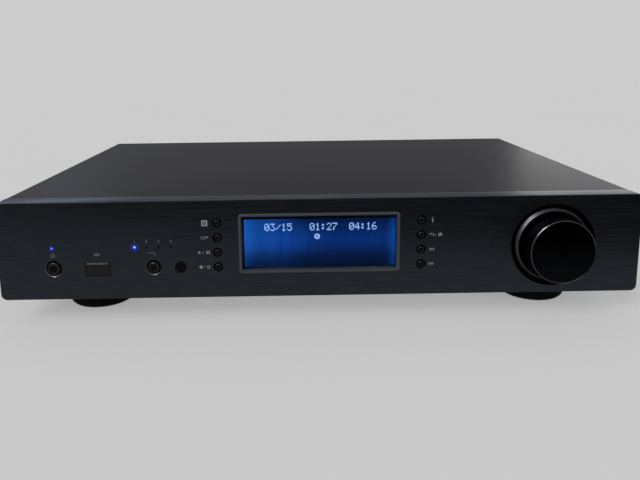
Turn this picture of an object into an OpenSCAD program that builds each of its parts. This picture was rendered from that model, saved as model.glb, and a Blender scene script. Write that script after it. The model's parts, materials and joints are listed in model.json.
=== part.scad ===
// Network music streamer: full-width home audio separate, black, on four round feet.
// Millimetres. X runs to the right, Y towards the rear, Z up. The origin is on the surface it stands on,
// under the middle of the overall box. Depths (d) count backwards from the face of the front panel,
// and heights on the front (h) count from the middle of the front panel.

/* [Front panel] */
// Width of the front panel
panel_w = 430; // [420:1:450]
// Height of the front panel
panel_h = 67.4; // [64:0.1:74]
// Depth of the front panel, from its face to the end of its return walls
panel_depth = 12.6; // [12:0.1:15]
// Thickness of the panel face
panel_face_t = 5; // [4:0.1:5.5]
// Thickness of the return walls round the panel
panel_wall = 4; // [3:0.1:4.4]
// Corner radius of the panel outline
panel_corner_r = 4; // [2:0.5:6]
// Bevel round the face
panel_edge = 0.5; // [0.2:0.1:1]
// Diameter of the screw bosses behind the face
boss_d = 7; // [6:0.1:7.4]

/* [Case] */
// Depth of the case, from the panel face to the back of the cover
body_depth = 280; // [270:1:320]
// Thickness of the sheet steel
sheet_t = 1.2; // [1:0.1:1.5]
// Inside radius of the sheet bends
bend_r = 1.2; // [0.8:0.1:2]
// How far the panel stands past each side of the cover
cover_step = 1; // [0.5:0.1:2]
// How far the cover top lies below the panel top
cover_drop = 0.4; // [0.2:0.1:1]
// Gap between the cover and the sheets inside it
cover_gap = 0.2; // [0.1:0.05:0.4]
// Gap between the cover and the front panel
seam_gap = 0.3; // [0.2:0.05:0.6]
// Height of the cover's rear lip
rear_lip_h = 11; // [9:0.5:13]
// Height of the tray's side walls
tray_wall_h = 16; // [14:0.5:20]
// Depth of the flanges on the inner sheets
flange_d = 13; // [11:0.5:16]

/* [Feet] */
// Gap between the standing surface and the front panel
ground_gap = 17.6; // [16:0.1:25]
// How far the panel hangs below the tray
panel_skirt = 1; // [0.5:0.1:2]
// Diameter of a foot where it meets the tray
foot_top_d = 49; // [44:0.5:54]
// Diameter of a foot near the standing surface
foot_bottom_d = 46; // [40:0.5:50]
// Distance from each end of the panel to the feet
foot_inset = 53.7; // [45:0.1:70]
// Distance from the panel face to the front feet
foot_front = 47.5; // [45:0.5:70]
// Distance from the back of the case to the rear feet
foot_rear = 45; // [36:1:60]
// Diameter of the rubber pad under a foot
pad_d = 33; // [28:0.5:36]
// Thickness of the rubber pad
pad_t = 2.4; // [2:0.1:3.5]
// How far the pad stands out of the foot
pad_proud = 0.6; // [0.4:0.1:1.6]

/* [Display] */
// Width of the display bezel
bezel_w = 107.6; // [105:0.1:112]
// Height of the display bezel
bezel_h = 41; // [37:0.1:42]
// Corner radius of the display bezel
bezel_r = 2.4; // [2:0.1:4]
// Width of the bezel band round the opening
bezel_band = 2.4; // [2.3:0.1:4]
// Flat front of the band, outside its inner slope
bezel_flat = 1.6; // [1.2:0.1:2]
// How far the bezel stands out of the panel
bezel_proud = 1.1; // [0.6:0.1:1.6]
// Overlap of the bezel over the panel face
bezel_overlap = 0.7; // [0.6:0.1:1.2]
// Depth of the lip that the window rests on
bezel_lip = 1.2; // [0.8:0.1:1.4]
// Height of the display centre above the panel middle
display_rise = 3.5; // [2:0.1:4]
// Thickness of the clear window
window_t = 2; // [1.5:0.1:2.4]
// Overlap of the window behind the lip
window_ledge = 0.6; // [0.6:0.1:1.1]
// Width of the display module
lcd_w = 116; // [113:0.5:118]
// Height of the display module
lcd_h = 46; // [43:0.5:46]
// Thickness of the display module's metal frame
lcd_skin = 0.8; // [0.5:0.1:1]

/* [Control knob] */
// Distance from the right end of the panel to the knob axis
knob_inset = 58.4; // [50:0.1:70]
// Height of the knob axis from the panel middle
knob_h = -0.6; // [-2:0.1:2]
// Diameter of the round recess in the panel
recess_d = 56.5; // [54:0.5:60]
// Depth of the round recess
recess_depth = 3; // [2.6:0.1:3.4]
// Diameter of the bright ring at the knob's foot
ring_d = 51; // [49:0.1:53]
// Width of the bright ring
ring_band = 2.4; // [1.8:0.1:2.6]
// Height of the bright ring in front of the panel
ring_proud = 0.7; // [0.3:0.1:1.2]
// Diameter of the knob face
knob_face_d = 42.1; // [40:0.1:43.5]
// How far the knob stands out of the panel
knob_proud = 16; // [13:0.1:18]
// Bevel round the knob face
knob_edge = 0.5; // [0.3:0.1:0.9]
// Gap between the knob and the floor of its recess
knob_gap = 1.1; // [0.9:0.1:1.5]
// Wall of the hollow knob
knob_wall = 3; // [2:0.1:4]
// Diameter of the hub inside the knob
hub_d = 12; // [10:0.1:13]
// Diameter of the encoder shaft
shaft_d = 6; // [5.5:0.1:6.2]
// How far the knob can be pushed in
knob_travel = 0.5; // [0.3:0.1:0.6]

/* [Buttons and lights] */
// Height of the lower control row from the panel middle
control_h = -12; // [-13:0.1:-11]
// Distance from the left end of the panel to the standby button
standby_inset = 37; // [30:0.1:42]
// Distance from the left column of keys to the filter button
filter_gap = 43.1; // [38:0.1:48]
// Diameter of the standby button's cap
button_d = 8.2; // [7.5:0.1:9]
// Diameter of the filter button's cap
filter_d = 7.2; // [6.5:0.1:9]
// Distance from the panel middle to each column of small keys
key_x = 68; // [66:0.1:72]
// Height of the middle of the key columns
key_h = 2.9; // [1.5:0.1:3.2]
// Distance between two keys in a column
key_pitch = 10.1; // [9.2:0.1:10.3]
// Diameter of the small key caps
key_d = 4.2; // [3.8:0.1:4.8]
// How far the caps stand out of the panel
cap_proud = 0.6; // [0.3:0.1:1]
// Gap round a cap in its hole
cap_gap = 0.3; // [0.2:0.05:0.4]
// Bevel round the holes of the round buttons
button_bevel = 1.3; // [0.8:0.1:1.5]
// Bevel round the holes of the small keys
key_bevel = 0.8; // [0.4:0.1:1]
// Depth of the hollow in a cap's front
cap_dish = 0.35; // [0.2:0.05:0.5]
// How far a button can be pushed in
press_travel = 0.6; // [0.4:0.1:0.8]
// Width of the collar that keeps a cap in its hole
collar_w = 1.2; // [0.9:0.1:1.3]
// Thickness of that collar
collar_t = 1; // [0.8:0.1:1.2]
// Height of the lights from the panel middle
light_h = 2.2; // [1:0.1:3]
// How far the standby light sits left of its button
standby_light_shift = 0.4; // [0:0.1:3]
// Distance from the left column of keys to the first filter light
filter_light_gap = 55.3; // [50:0.1:58]
// Distance between two filter lights
light_pitch = 8.1; // [7:0.1:8.4]
// Diameter of a light pipe
pipe_d = 1.7; // [1.4:0.1:2]
// Distance from the left column of keys to the remote window
ir_gap = 24.9; // [22:0.1:28]
// Diameter of the remote window
ir_d = 8; // [7:0.1:8.4]

/* [Front socket] */
// Distance from the standby button to the front socket
usb_pitch = 29.5; // [26:0.1:34]
// Height of the front socket from the panel middle
usb_h = -12.7; // [-13.5:0.1:-12]
// Width of the dust cover
dust_w = 16.7; // [16:0.1:18]
// Height of the dust cover
dust_h = 9.2; // [8:0.1:10]
// How far the dust cover stands out of the panel
dust_proud = 1; // [0.6:0.1:1.5]
// Bevel round the dust cover
dust_bevel = 0.9; // [0.5:0.1:1]
// Length of the blade that goes into the socket
blade_l = 7; // [5:0.5:8]

/* [Rear sockets] */
// How far the round phono sockets stand out of the cover's back
socket_proud = 10; // [8:0.5:13]
// Outside diameter of a phono socket
phono_d = 8.3; // [8.1:0.1:8.5]
// Inside diameter of a phono socket
phono_bore_d = 7; // [6.6:0.1:7.2]
// Distance from the inner balanced socket to the stacked pair of phono sockets
phono_gap = 33; // [28:0.5:38]
// Distance from the stacked pair to the nearest single phono socket
phono_first = 32; // [26:0.5:38]
// Distance between the single phono sockets
phono_pitch = 36; // [32:0.5:40]
// Height between the stacked phono sockets
phono_rise = 18; // [15:0.5:22]
// Distance from each single phono socket to the optical socket beside it
optical_gap = 18; // [14:0.5:20]
// Distance from the case side to the outer balanced socket
balanced_inset = 32.6; // [28:0.1:40]
// Distance between the balanced sockets
balanced_pitch = 39; // [34:0.5:44]
// Height of the balanced sockets from the panel middle
balanced_h = 3; // [0:0.5:5]
// Inside diameter of a balanced socket
balanced_bore_d = 19; // [18:0.1:19.6]
// Distance from the network socket to the stacked computer sockets
usb_pair_pitch = 26; // [22:0.5:29]
// Distance from the stacked computer sockets to the square one
usb_square_pitch = 24; // [20:0.5:27]
// Distance from the case side to the mains inlet
inlet_inset = 30.6; // [26:0.1:36]
// Height of the mains inlet and switch from the panel middle
mains_h = -4; // [-6:0.5:4]
// Distance from the mains inlet to the mains switch
rocker_pitch = 36; // [30:0.5:42]
// Tilt of the mains rocker either way
rocker_tilt = 10; // [7:0.5:12]

/* [Inside] */
// Height of the posts that carry the boards
post_h = 8; // [6:0.5:9]
// Thickness of the circuit boards
board_t = 1.6; // [1.2:0.1:1.8]
// Depth of the main board
main_board_d = 150; // [130:1:165]
// Outside diameter of the transformer
toroid_d = 90; // [80:1:94]
// Height of the transformer
toroid_h = 38; // [30:1:44]
// Distance from the front feet back to the transformer's axis
toroid_set_back = 51; // [46:1:54]
// Distance from the case side to the transformer's axis
toroid_inset = 50.6; // [48:0.1:60]

/* [Hidden] */
$fn = 64;
cut = 1;
screw_d = 3;
screw_gap = 0.05;
hole_gap = 0.2;
tapped_d = screw_d + 2 * screw_gap;
clear_d = screw_d + 2 * hole_gap;
trim_gap = 0.1;
socket_gap = 0.3;
head_d = 5.5;
head_t = 1.8;
low_head_t = 0.9;
head_bevel = 0.6;

// Overall box and main levels
overall_depth = knob_proud + body_depth + socket_proud;
face_y = knob_proud - overall_depth / 2;
floor_z = ground_gap + panel_skirt;
floor_top = floor_z + sheet_t;
flange_top = floor_top + sheet_t;
mid_z = ground_gap + panel_h / 2;
cover_w = panel_w - 2 * cover_step;
cover_top = ground_gap + panel_h - cover_drop;
inner_top = cover_top - sheet_t;
tray_w = cover_w - 2 * sheet_t - 2 * cover_gap;
half_tray = tray_w / 2;
rear_face = body_depth - sheet_t;
rear_inner = rear_face - sheet_t;
frame_face = panel_depth;
frame_back = panel_depth + sheet_t;

// Front panel places
knob_x = panel_w / 2 - knob_inset;
standby_x = standby_inset - panel_w / 2;
standby_light_x = standby_x - standby_light_shift;
usb_x = standby_x + usb_pitch;
filter_x = -key_x - filter_gap;
filter_light_x = -key_x - filter_light_gap;
ir_x = -key_x - ir_gap;
boss_h = panel_h / 2 - panel_wall - boss_d / 2 - 0.5;
boss_in_x = key_x - 2.6;
boss_out_x = panel_w / 2 - panel_wall - boss_d / 2 - 5;
boss_places = [for (x = [-boss_out_x, -boss_in_x, boss_in_x, boss_out_x], h = [-boss_h, boss_h]) [x, h]];
boss_hole_l = 6;
pocket_r = 1.5;

// Display stack
opening_w = bezel_w - 2 * bezel_band;
opening_h = bezel_h - 2 * bezel_band;
cutout_w = bezel_w - 2 * bezel_overlap;
cutout_h = bezel_h - 2 * bezel_overlap;
cutout_r = bezel_r - bezel_overlap;
window_w = opening_w + 2 * window_ledge;
window_h = opening_h + 2 * window_ledge;
bezel_slope = bezel_proud + 0.7;
lcd_post = 0.9;
lcd_back = frame_face - lcd_post - board_t;

// Buttons, from the panel face backwards
collar_front = panel_face_t + hole_gap;
collar_back = collar_front + collar_t;
switch_front = collar_back + press_travel + hole_gap;
switch_t = 2;
switch_w = 6.2;
switch_bore = 1.6;
stem_d = 2.4;
stem_reach = 0.5;
board_front = switch_front + switch_t;
board_back = board_front + board_t;
key_rows = [for (i = [0:3]) key_h + (1.5 - i) * key_pitch];
switch_places = concat(
  [[standby_x, control_h], [filter_x, control_h]],
  [for (x = [-key_x, key_x], h = key_rows) [x, h]]
);
filter_lights = [for (i = [0:3]) [filter_light_x + i * light_pitch, light_h]];
lights = concat([[standby_light_x, light_h]], filter_lights);
led_t = 1;
led_w = 2.4;
key_board_tall = 2 * (boss_h - boss_d / 2 - 0.5);
left_board_x0 = standby_x - 13;
left_board_x1 = -lcd_w / 2 - 1.5;
right_board_x0 = lcd_w / 2 + 1.5;
right_board_x1 = key_x + 10;
right_board_tall = 3 * key_pitch + switch_w + 1;

// Front socket
shell_w = 13.2;
shell_h = 5.8;
shell_t = 0.4;
shell_inner_w = shell_w - 2 * shell_t;
shell_inner_h = shell_h - 2 * shell_t;
shell_front = 2;
shell_clear = 1;
tongue_w = 11;
tongue_t = 1.9;
tongue_rise = 1;
tongue_inset = 0.8;
plug_back = 3.6;
usb_post = 1.4;
usb_board_front = frame_back + usb_post;
usb_board_back = usb_board_front + board_t;
usb_board_x0 = usb_x - 16;
usb_board_x1 = -key_x - 5.4;
usb_board_tall = 24;
usb_board_rise = 2;
usb_posts = [[usb_x - 12, usb_h], [usb_board_x1 - 5, usb_h + 7], [usb_x + 14, usb_h + 5]];

// Posts that carry the key boards
post_d = 5;
post_rise = 16;
post_drop = -17;
post_inset = 4;
middle_post_x = (usb_x + shell_w / 2 + shell_clear + filter_x - switch_w / 2) / 2;
inner_post_gaps = [17.4, 13.4];
left_posts = [
  [left_board_x0 + post_inset, post_rise], [left_board_x0 + post_inset, post_drop],
  [middle_post_x, post_rise], [middle_post_x, post_drop],
  [-key_x - inner_post_gaps[0], post_rise], [-key_x - inner_post_gaps[1], post_drop]
];
right_posts = [for (s = [-1, 1]) [right_board_x1 - post_inset, key_h + s * key_pitch]];
key_posts = concat(left_posts, right_posts);

// Knob and encoder
ring_r = ring_d / 2;
knob_foot_r = ring_r - ring_band;
knob_back = recess_depth - knob_gap;
knob_face_r = knob_face_d / 2;
hub_hole_d = hub_d + 2;
knob_hollow_front = -knob_proud + 4;
shaft_front = knob_hollow_front - 2.2;
bush_d = shaft_d + 1.4;
shaft_gap = 0.06;
bush_front = 7.2;
encoder_w = 13;
encoder_back = frame_back + 7;
cavity_d = 10;
cavity_front = frame_back + 1;
cavity_back = cavity_front + 3.4;
rotor_t = 2.4;
rotor_front = cavity_front + 0.5;
rotor_gap = 0.08;
shaft_back = cavity_back + 0.5;
shaft_flat = shaft_d / 4;
shaft_shoulder = knob_back + knob_travel + hole_gap;
nut_t = 1.7;
washer_t = 0.5;
nut_d = 12;
encoder_board_back = encoder_back + board_t;
encoder_board_edge = 4;

// Rear sockets
board_z = floor_top + post_h;
board_top = board_z + board_t;
board_h = board_top - mid_z;
phono_axis = 7.6;
phono_low_h = board_h + phono_axis;
phono_tip = body_depth + socket_proud;
phono_block = 12;
phono_block_d = 11;
collar_ring_d = 11;
collar_ring_t = 1.4;
pin_hole_d = 3.4;
socket_lip = 0.6;
optical_w = 9.8;
optical_tall = 10.4;
optical_deep = 14;
optical_bore = 8;
ethernet_size = [16.2, 13.6, 20];
ethernet_hole = [11.9, 8.2, 14];
usb_pair_size = [14.8, 15.8, 17];
usb_pair_hole = [12.6, 5.2, 13];
usb_pair_rise = 3.75;
usb_square_size = [12.2, 10.8, 15];
usb_square_hole = [8.6, 7.8, 11];
square_tongue = [5.6, 3.2];
balanced_w = 26;
balanced_tall = 31;
balanced_t = 1.8;
balanced_r = 3;
balanced_deep = 16;
balanced_wall = 1.5;
balanced_base = 2;
balanced_d = balanced_bore_d + 2 * balanced_wall;
balanced_screw = [9.7, 12.2];
balanced_pins = [[-3.6, 2.4], [3.6, 2.4], [0, -3.4]];
balanced_pin_d = 2.4;
inlet_flange = [31, 24.5];
inlet_flange_t = 2.4;
inlet_flange_r = 2;
inlet_body = [27.6, 20.2];
inlet_hole = [24.4, 16.4];
inlet_corner = 4.5;
inlet_deep = 22;
inlet_hole_deep = 16.5;
inlet_pin = [2, 4];
inlet_pins = [[-7, -2], [7, -2], [0, 2]];
switch_flange = [15.4, 21.4];
switch_flange_t = 1.8;
switch_flange_r = 1.5;
switch_body = [13.6, 19.6];
switch_deep = 15;
rocker_w = 10.6;
rocker_r = 8.4;
rocker_axis = rear_face - 1.2;
rocker_pin_d = 2.6;
rocker_pin_l = 1;
rocker_gap = 0.3;

// Rear socket places: audio from the right side, mains from the left, data in the middle of the room between
balanced_xs = [half_tray - balanced_inset - balanced_pitch, half_tray - balanced_inset];
balanced_screws = [
  for (x = balanced_xs, s = [-1, 1]) [x + s * balanced_screw.x, balanced_h + s * balanced_screw.y]
];
phono_pair_x = balanced_xs[0] - phono_gap;
phono_xs = [for (i = [0:2]) phono_pair_x - phono_first - (2 - i) * phono_pitch];
phono_places = concat(
  [for (x = phono_xs) [x, phono_low_h]],
  [[phono_pair_x, phono_low_h], [phono_pair_x, phono_low_h + phono_rise]]
);
optical_xs = [for (x = phono_xs) x - optical_gap];
inlet_x = inlet_inset - half_tray;
rocker_x = inlet_x + rocker_pitch;
data_left = rocker_x + switch_flange.x / 2;
data_right = optical_xs[0] - optical_w / 2;
data_span = ethernet_size.x / 2 + usb_pair_pitch + usb_square_pitch + usb_square_size.x / 2;
ethernet_x = (data_left + data_right - data_span + ethernet_size.x) / 2;
usb_pair_x = ethernet_x + usb_pair_pitch;
usb_square_x = usb_pair_x + usb_square_pitch;

// Inside
main_board_x0 = ethernet_x - ethernet_size.x / 2 - 3;
main_board_x1 = half_tray - 9.6;
main_board_x = (main_board_x0 + main_board_x1) / 2;
main_board_back = rear_inner - 4;
main_board_front = main_board_back - main_board_d;
power_board_x0 = 6.6 - half_tray;
power_board_x1 = main_board_x0 - 6;
power_board_x = (power_board_x0 + power_board_x1) / 2;
power_board_back = rear_inner - inlet_deep - 8;
toroid_x = toroid_inset - half_tray;
toroid_depth = foot_front + toroid_set_back;
toroid_clear = 8;
power_board_front = toroid_depth + toroid_d / 2 + toroid_clear;
main_board_step_x = max(main_board_x0, toroid_x + toroid_d / 2 + toroid_clear);
main_board_step_d = max(main_board_front, power_board_front);
toroid_bore_d = 30;
toroid_bevel = 6;
toroid_pad = 1.5;
toroid_bolt_d = 5;
toroid_top = floor_top + toroid_pad + toroid_h;
dish_t = 2;
main_post_edge = 6;
main_post_xs = [main_board_x - 12.6, main_board_x1 - main_post_edge];
main_post_ds = [main_board_front + 16, main_board_back - 30];
main_posts = concat(
  [[main_board_step_x + main_post_edge, main_post_ds[0]], [main_board_x0 + main_post_edge, main_post_ds[1]]],
  [for (x = main_post_xs, d = main_post_ds) [x, d]]
);
power_post_xs = [power_board_x0 + 5, power_board_x1 - 5];
power_post_ds = [power_board_front + 5, power_board_back - 5];
power_posts = [for (x = power_post_xs, d = power_post_ds) [x, d]];
board_posts = concat(main_posts, power_posts);
board_post_d = 7;
link_h = board_h + 6.5;
link_t = 1;
link_end = main_board_front + 2;
link_connector = [8, 9];
links = [
  [-key_x - 11, usb_board_back, 10],
  [-key_x + 2, board_back, 9],
  [0, frame_face - lcd_post, 24],
  [key_x, board_back, 9],
  [knob_x, encoder_board_back, 10]
];
foot_x = panel_w / 2 - foot_inset;
foot_places = [for (x = [-foot_x, foot_x], d = [foot_front, body_depth - foot_rear]) [x, d]];
foot_screw_d = 4;
foot_web = 4;
foot_bevel = 1.6;
foot_rim = 1.5;
pad_band = 5;
pad_bevel = 0.4;
side_screw_front = 42;
side_screw_rear = 36;
side_screws = [side_screw_front, body_depth - side_screw_rear];
side_screw_z = floor_z + 11;
rear_lip_inset = 62.6;
rear_lip_x = half_tray - rear_lip_inset;
rear_lip_xs = [-rear_lip_x, 0, rear_lip_x];
rear_lip_mid = cover_top - rear_lip_h / 2 - mid_z;
floor_screw_out = half_tray - 18;
floor_screw_in = 115;
floor_screw_xs = [-floor_screw_out, -floor_screw_in, floor_screw_in, floor_screw_out];
floor_screw_ds = [frame_back + flange_d / 2, rear_inner - flange_d / 2];
screw_tail = 2;

// Outline helpers

// Rectangle with round corners, about its middle
module rounded(w, h, r) {
  square([w - 2 * r, h], center = true);
  square([w, h - 2 * r], center = true);
  for (sx = [-1, 1], sy = [-1, 1]) translate([sx * (w / 2 - r), sy * (h / 2 - r)]) circle(r);
}

// Rectangle standing on the X axis with its two upper corners rounded
module arch(w, h, r) {
  translate([-w / 2, 0]) square([w, h - r]);
  translate([-w / 2 + r, 0]) square([w - 2 * r, h]);
  for (sx = [-1, 1]) translate([sx * (w / 2 - r), h - r]) circle(r);
}

// Rectangle with its two upper corners cut off
module clipped(w, h, c) {
  polygon([
    [-w / 2, -h / 2], [w / 2, -h / 2], [w / 2, h / 2 - c],
    [w / 2 - c, h / 2], [c - w / 2, h / 2], [-w / 2, h / 2 - c]
  ]);
}

// Placing helpers

// Extrudes an outline of (x, height from the panel middle) from depth d0 to depth d1
module across(d0, d1) {
  translate([0, face_y + d1, mid_z]) rotate([90, 0, 0]) linear_extrude(d1 - d0) children();
}

// Round bar along the depth, with an optional second diameter for a cone
module bar(x, h, d0, d1, dia, dia_end) {
  far = is_undef(dia_end) ? dia : dia_end;
  translate([x, face_y + d0, mid_z + h]) rotate([-90, 0, 0]) cylinder(h = d1 - d0, d1 = dia, d2 = far);
}

// Rectangular bar along the depth
module block(x, h, d0, d1, w, tall) {
  translate([x - w / 2, face_y + d0, mid_z + h - tall / 2]) cube([w, d1 - d0, tall]);
}

// Box between two corners, with depths for its Y range
module slab(x0, x1, d0, d1, z0, z1) {
  translate([x0, face_y + d0, z0]) cube([x1 - x0, d1 - d0, z1 - z0]);
}

// Upright round post
module post(x, d, z0, z1, dia) {
  translate([x, face_y + d, z0]) cylinder(h = z1 - z0, d = dia);
}

// Turned shape from a profile of (radius, depth)
module turned(x, h) {
  translate([x, face_y, mid_z + h]) rotate([-90, 0, 0]) rotate_extrude() children();
}

// Prism along the width from a profile of (depth, height from the panel middle)
module along_width(x0, x1) {
  translate([x0, face_y, mid_z]) rotate([90, 0, 90]) linear_extrude(x1 - x0) children();
}

// Prism along the height from a profile of (x, depth)
module along_height(h0, h1) {
  translate([0, face_y, mid_z + h0]) linear_extrude(h1 - h0) children();
}

// Rounded plate from depth d0 to d1 whose front edge is bevelled all round
module edged_plate(x, h, w, tall, r, bevel, d0, d1) {
  b = d0 + bevel;
  along_width(x - w / 2 + r, x + w / 2 - r) polygon([
    [d0, h - tall / 2 + bevel], [d0, h + tall / 2 - bevel], [b, h + tall / 2],
    [d1, h + tall / 2], [d1, h - tall / 2], [b, h - tall / 2]
  ]);
  along_height(h - tall / 2 + r, h + tall / 2 - r) polygon([
    [x - w / 2 + bevel, d0], [x + w / 2 - bevel, d0], [x + w / 2, b],
    [x + w / 2, d1], [x - w / 2, d1], [x - w / 2, b]
  ]);
  for (sx = [-1, 1], sh = [-1, 1]) {
    cx = x + sx * (w / 2 - r);
    ch = h + sh * (tall / 2 - r);
    bar(cx, ch, d0, b, 2 * (r - bevel), 2 * r);
    bar(cx, ch, b, d1, 2 * r);
  }
}

// Rectangular funnel between two sizes at two depths
module funnel(x, h, d0, w0, tall0, d1, w1, tall1) {
  intersection() {
    along_height(h - tall0, h + tall0) polygon([
      [x - w0 / 2, d0], [x + w0 / 2, d0], [x + w1 / 2, d1], [x - w1 / 2, d1]
    ]);
    along_width(x - w0, x + w0) polygon([
      [d0, h - tall0 / 2], [d0, h + tall0 / 2], [d1, h + tall1 / 2], [d1, h - tall1 / 2]
    ]);
  }
}

// Pan-head screw along Z: head above zero, shank of length l below it
module screw(l, dia, head = head_d, tall = head_t) {
  bevel = min(head_bevel, tall / 2);
  rotate_extrude() polygon([
    [0, tall], [head / 2 - bevel, tall], [head / 2, tall - bevel], [head / 2, 0],
    [dia / 2, 0], [dia / 2, -l], [0, -l]
  ]);
}

// Screw driven backwards from depth d
module screw_in(x, h, d, l) {
  translate([x, face_y + d, mid_z + h]) rotate([90, 0, 0]) screw(l, screw_d);
}

// Screw driven forwards from depth d
module screw_out(x, h, d, l) {
  translate([x, face_y + d, mid_z + h]) rotate([-90, 0, 0]) screw(l, screw_d);
}

// Screw driven up from height z
module screw_up(x, d, z, l, dia, head = head_d) {
  translate([x, face_y + d, z]) rotate([180, 0, 0]) screw(l, dia, head);
}

// Screw driven down from height z
module screw_down(x, d, z, l, dia, head = head_d) {
  translate([x, face_y + d, z]) screw(l, dia, head);
}

// Front panel and display

// Bevelled hole for a cap
module cap_hole(x, h, cap_d, bevel) {
  hole_d = cap_d + 2 * cap_gap;
  bar(x, h, -cut, panel_face_t + cut, hole_d);
  bar(x, h, -cut, bevel, hole_d + 2 * bevel + 2 * cut, hole_d);
}

module front_panel() {
  color("#1b1c21") difference() {
    union() {
      difference() {
        edged_plate(0, 0, panel_w, panel_h, panel_corner_r, panel_edge, 0, panel_depth);
        across(panel_face_t, panel_depth + cut)
          rounded(panel_w - 2 * panel_wall, panel_h - 2 * panel_wall, pocket_r);
      }
      for (p = boss_places) bar(p.x, p.y, panel_face_t - cut, panel_depth, boss_d);
    }
    for (p = boss_places) bar(p.x, p.y, panel_depth - boss_hole_l, panel_depth + cut, tapped_d);
    across(-cut, panel_face_t + cut) translate([0, display_rise]) rounded(cutout_w, cutout_h, cutout_r);
    bar(knob_x, knob_h, -cut, recess_depth, recess_d);
    bar(knob_x, knob_h, -cut, panel_face_t + cut, hub_hole_d);
    cap_hole(standby_x, control_h, button_d, button_bevel);
    cap_hole(filter_x, control_h, filter_d, button_bevel);
    for (x = [-key_x, key_x], h = key_rows) cap_hole(x, h, key_d, key_bevel);
    for (p = lights) bar(p.x, p.y, -cut, panel_face_t + cut, pipe_d + 2 * screw_gap);
    bar(ir_x, control_h, -cut, panel_face_t + cut, ir_d + 2 * screw_gap);
    block(usb_x, usb_h, -cut, panel_face_t + cut, dust_w + 2 * hole_gap, dust_h + 2 * hole_gap);
  }
}

module display_bezel() {
  slope_w = bezel_w - 2 * bezel_flat;
  slope_h = bezel_h - 2 * bezel_flat;
  color("#3c4044") difference() {
    union() {
      edged_plate(0, display_rise, bezel_w, bezel_h, bezel_r, bezel_proud / 2, -bezel_proud, 0);
      across(-bezel_proud / 4, panel_face_t) translate([0, display_rise])
        rounded(cutout_w - 2 * trim_gap, cutout_h - 2 * trim_gap, cutout_r);
    }
    funnel(0, display_rise, -bezel_proud, slope_w, slope_h,
      bezel_slope - bezel_proud, opening_w, opening_h);
    block(0, display_rise, -bezel_proud - cut, panel_face_t + cut, opening_w, opening_h);
    block(0, display_rise, bezel_lip, panel_face_t + cut, window_w + 2 * trim_gap, window_h + 2 * trim_gap);
  }
}

module display_window() {
  color("#20242c", 0.4) block(0, display_rise, bezel_lip, bezel_lip + window_t, window_w, window_h);
}

module lcd_frame() {
  color("#222222") difference() {
    block(0, display_rise, panel_face_t, lcd_back, lcd_w, lcd_h);
    block(0, display_rise, panel_face_t + lcd_skin, lcd_back + cut, lcd_w - 2 * lcd_skin,
      lcd_h - 2 * lcd_skin);
    block(0, display_rise, panel_face_t - cut, lcd_back, opening_w + 2 * hole_gap,
      opening_h + 2 * hole_gap);
  }
}

module lcd_panel() {
  inset = 2 * lcd_skin + 2 * trim_gap;
  color("#0a3aa0") block(0, display_rise, panel_face_t + lcd_skin, lcd_back, lcd_w - inset, lcd_h - inset);
}

module lcd_board() {
  color("#1d4a2c") block(0, display_rise, lcd_back, lcd_back + board_t, lcd_w, lcd_h);
}

// Knob and encoder

// Outline of the shaft with its flat, grown by a gap
module shaft_outline(gap) {
  intersection() {
    circle(d = shaft_d + 2 * gap);
    translate([-shaft_d, -shaft_flat - gap]) square([2 * shaft_d, 2 * shaft_d]);
  }
}

// Prism of the flatted shaft outline from depth d0 to d1
module flatted(d0, d1, gap) {
  across(d0, d1) translate([knob_x, knob_h]) shaft_outline(gap);
}

module control_knob() {
  hollow_r = knob_face_r - knob_wall;
  color("#0e0e11") difference() {
    union() {
      difference() {
        turned(knob_x, knob_h) polygon([
          [0, -knob_proud], [knob_face_r - knob_edge, -knob_proud], [knob_face_r, knob_edge - knob_proud],
          [knob_foot_r, 0], [knob_foot_r, knob_back], [0, knob_back]
        ]);
        bar(knob_x, knob_h, knob_hollow_front, knob_back + cut, 2 * hollow_r);
      }
      bar(knob_x, knob_h, knob_hollow_front - cut, knob_back, hub_d);
    }
    flatted(shaft_front, knob_back + cut, screw_gap);
  }
}

module knob_ring() {
  foot_r = knob_foot_r + trim_gap;
  bevel = ring_band / 3;
  color("#b9bcc2") turned(knob_x, knob_h) polygon([
    [foot_r, knob_back], [ring_r, knob_back], [ring_r, bevel - ring_proud],
    [ring_r - bevel, -ring_proud], [foot_r + bevel, -ring_proud], [foot_r, bevel - ring_proud]
  ]);
}

// Cutter for a flat along the underside of the shaft
module shaft_mill(d0, d1) {
  block(knob_x, knob_h - shaft_flat - shaft_d / 2, d0, d1, 2 * shaft_d, shaft_d);
}

module encoder_shaft() {
  color("#c8c8c8") difference() {
    bar(knob_x, knob_h, shaft_front, shaft_back, shaft_d);
    shaft_mill(shaft_front - cut, shaft_shoulder);
    shaft_mill(cavity_front - hole_gap, shaft_back + cut);
  }
}

module encoder_rotor() {
  color("#d8d0b8") difference() {
    bar(knob_x, knob_h, rotor_front, rotor_front + rotor_t, cavity_d - 2 * rotor_gap);
    flatted(rotor_front - cut, rotor_front + rotor_t + cut, rotor_gap);
  }
}

module encoder_body() {
  bore_d = shaft_d + 2 * shaft_gap;
  color("#8f9499") difference() {
    union() {
      block(knob_x, knob_h, frame_back, encoder_back, encoder_w, encoder_w);
      bar(knob_x, knob_h, bush_front, frame_back + cut, bush_d);
    }
    bar(knob_x, knob_h, bush_front - cut, shaft_back + knob_travel + hole_gap, bore_d);
    bar(knob_x, knob_h, cavity_front, cavity_back, cavity_d);
  }
}

module encoder_nut() {
  bore_d = bush_d + 2 * screw_gap;
  color("#b8babd") difference() {
    union() {
      translate([knob_x, face_y + frame_face - washer_t - nut_t, mid_z + knob_h]) rotate([-90, 0, 0])
        cylinder(h = nut_t, d = nut_d, $fn = 6);
      bar(knob_x, knob_h, frame_face - washer_t, frame_face, nut_d + 1);
    }
    bar(knob_x, knob_h, frame_face - washer_t - nut_t - cut, frame_face + cut, bore_d);
  }
}

// Buttons, lights and front socket

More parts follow.
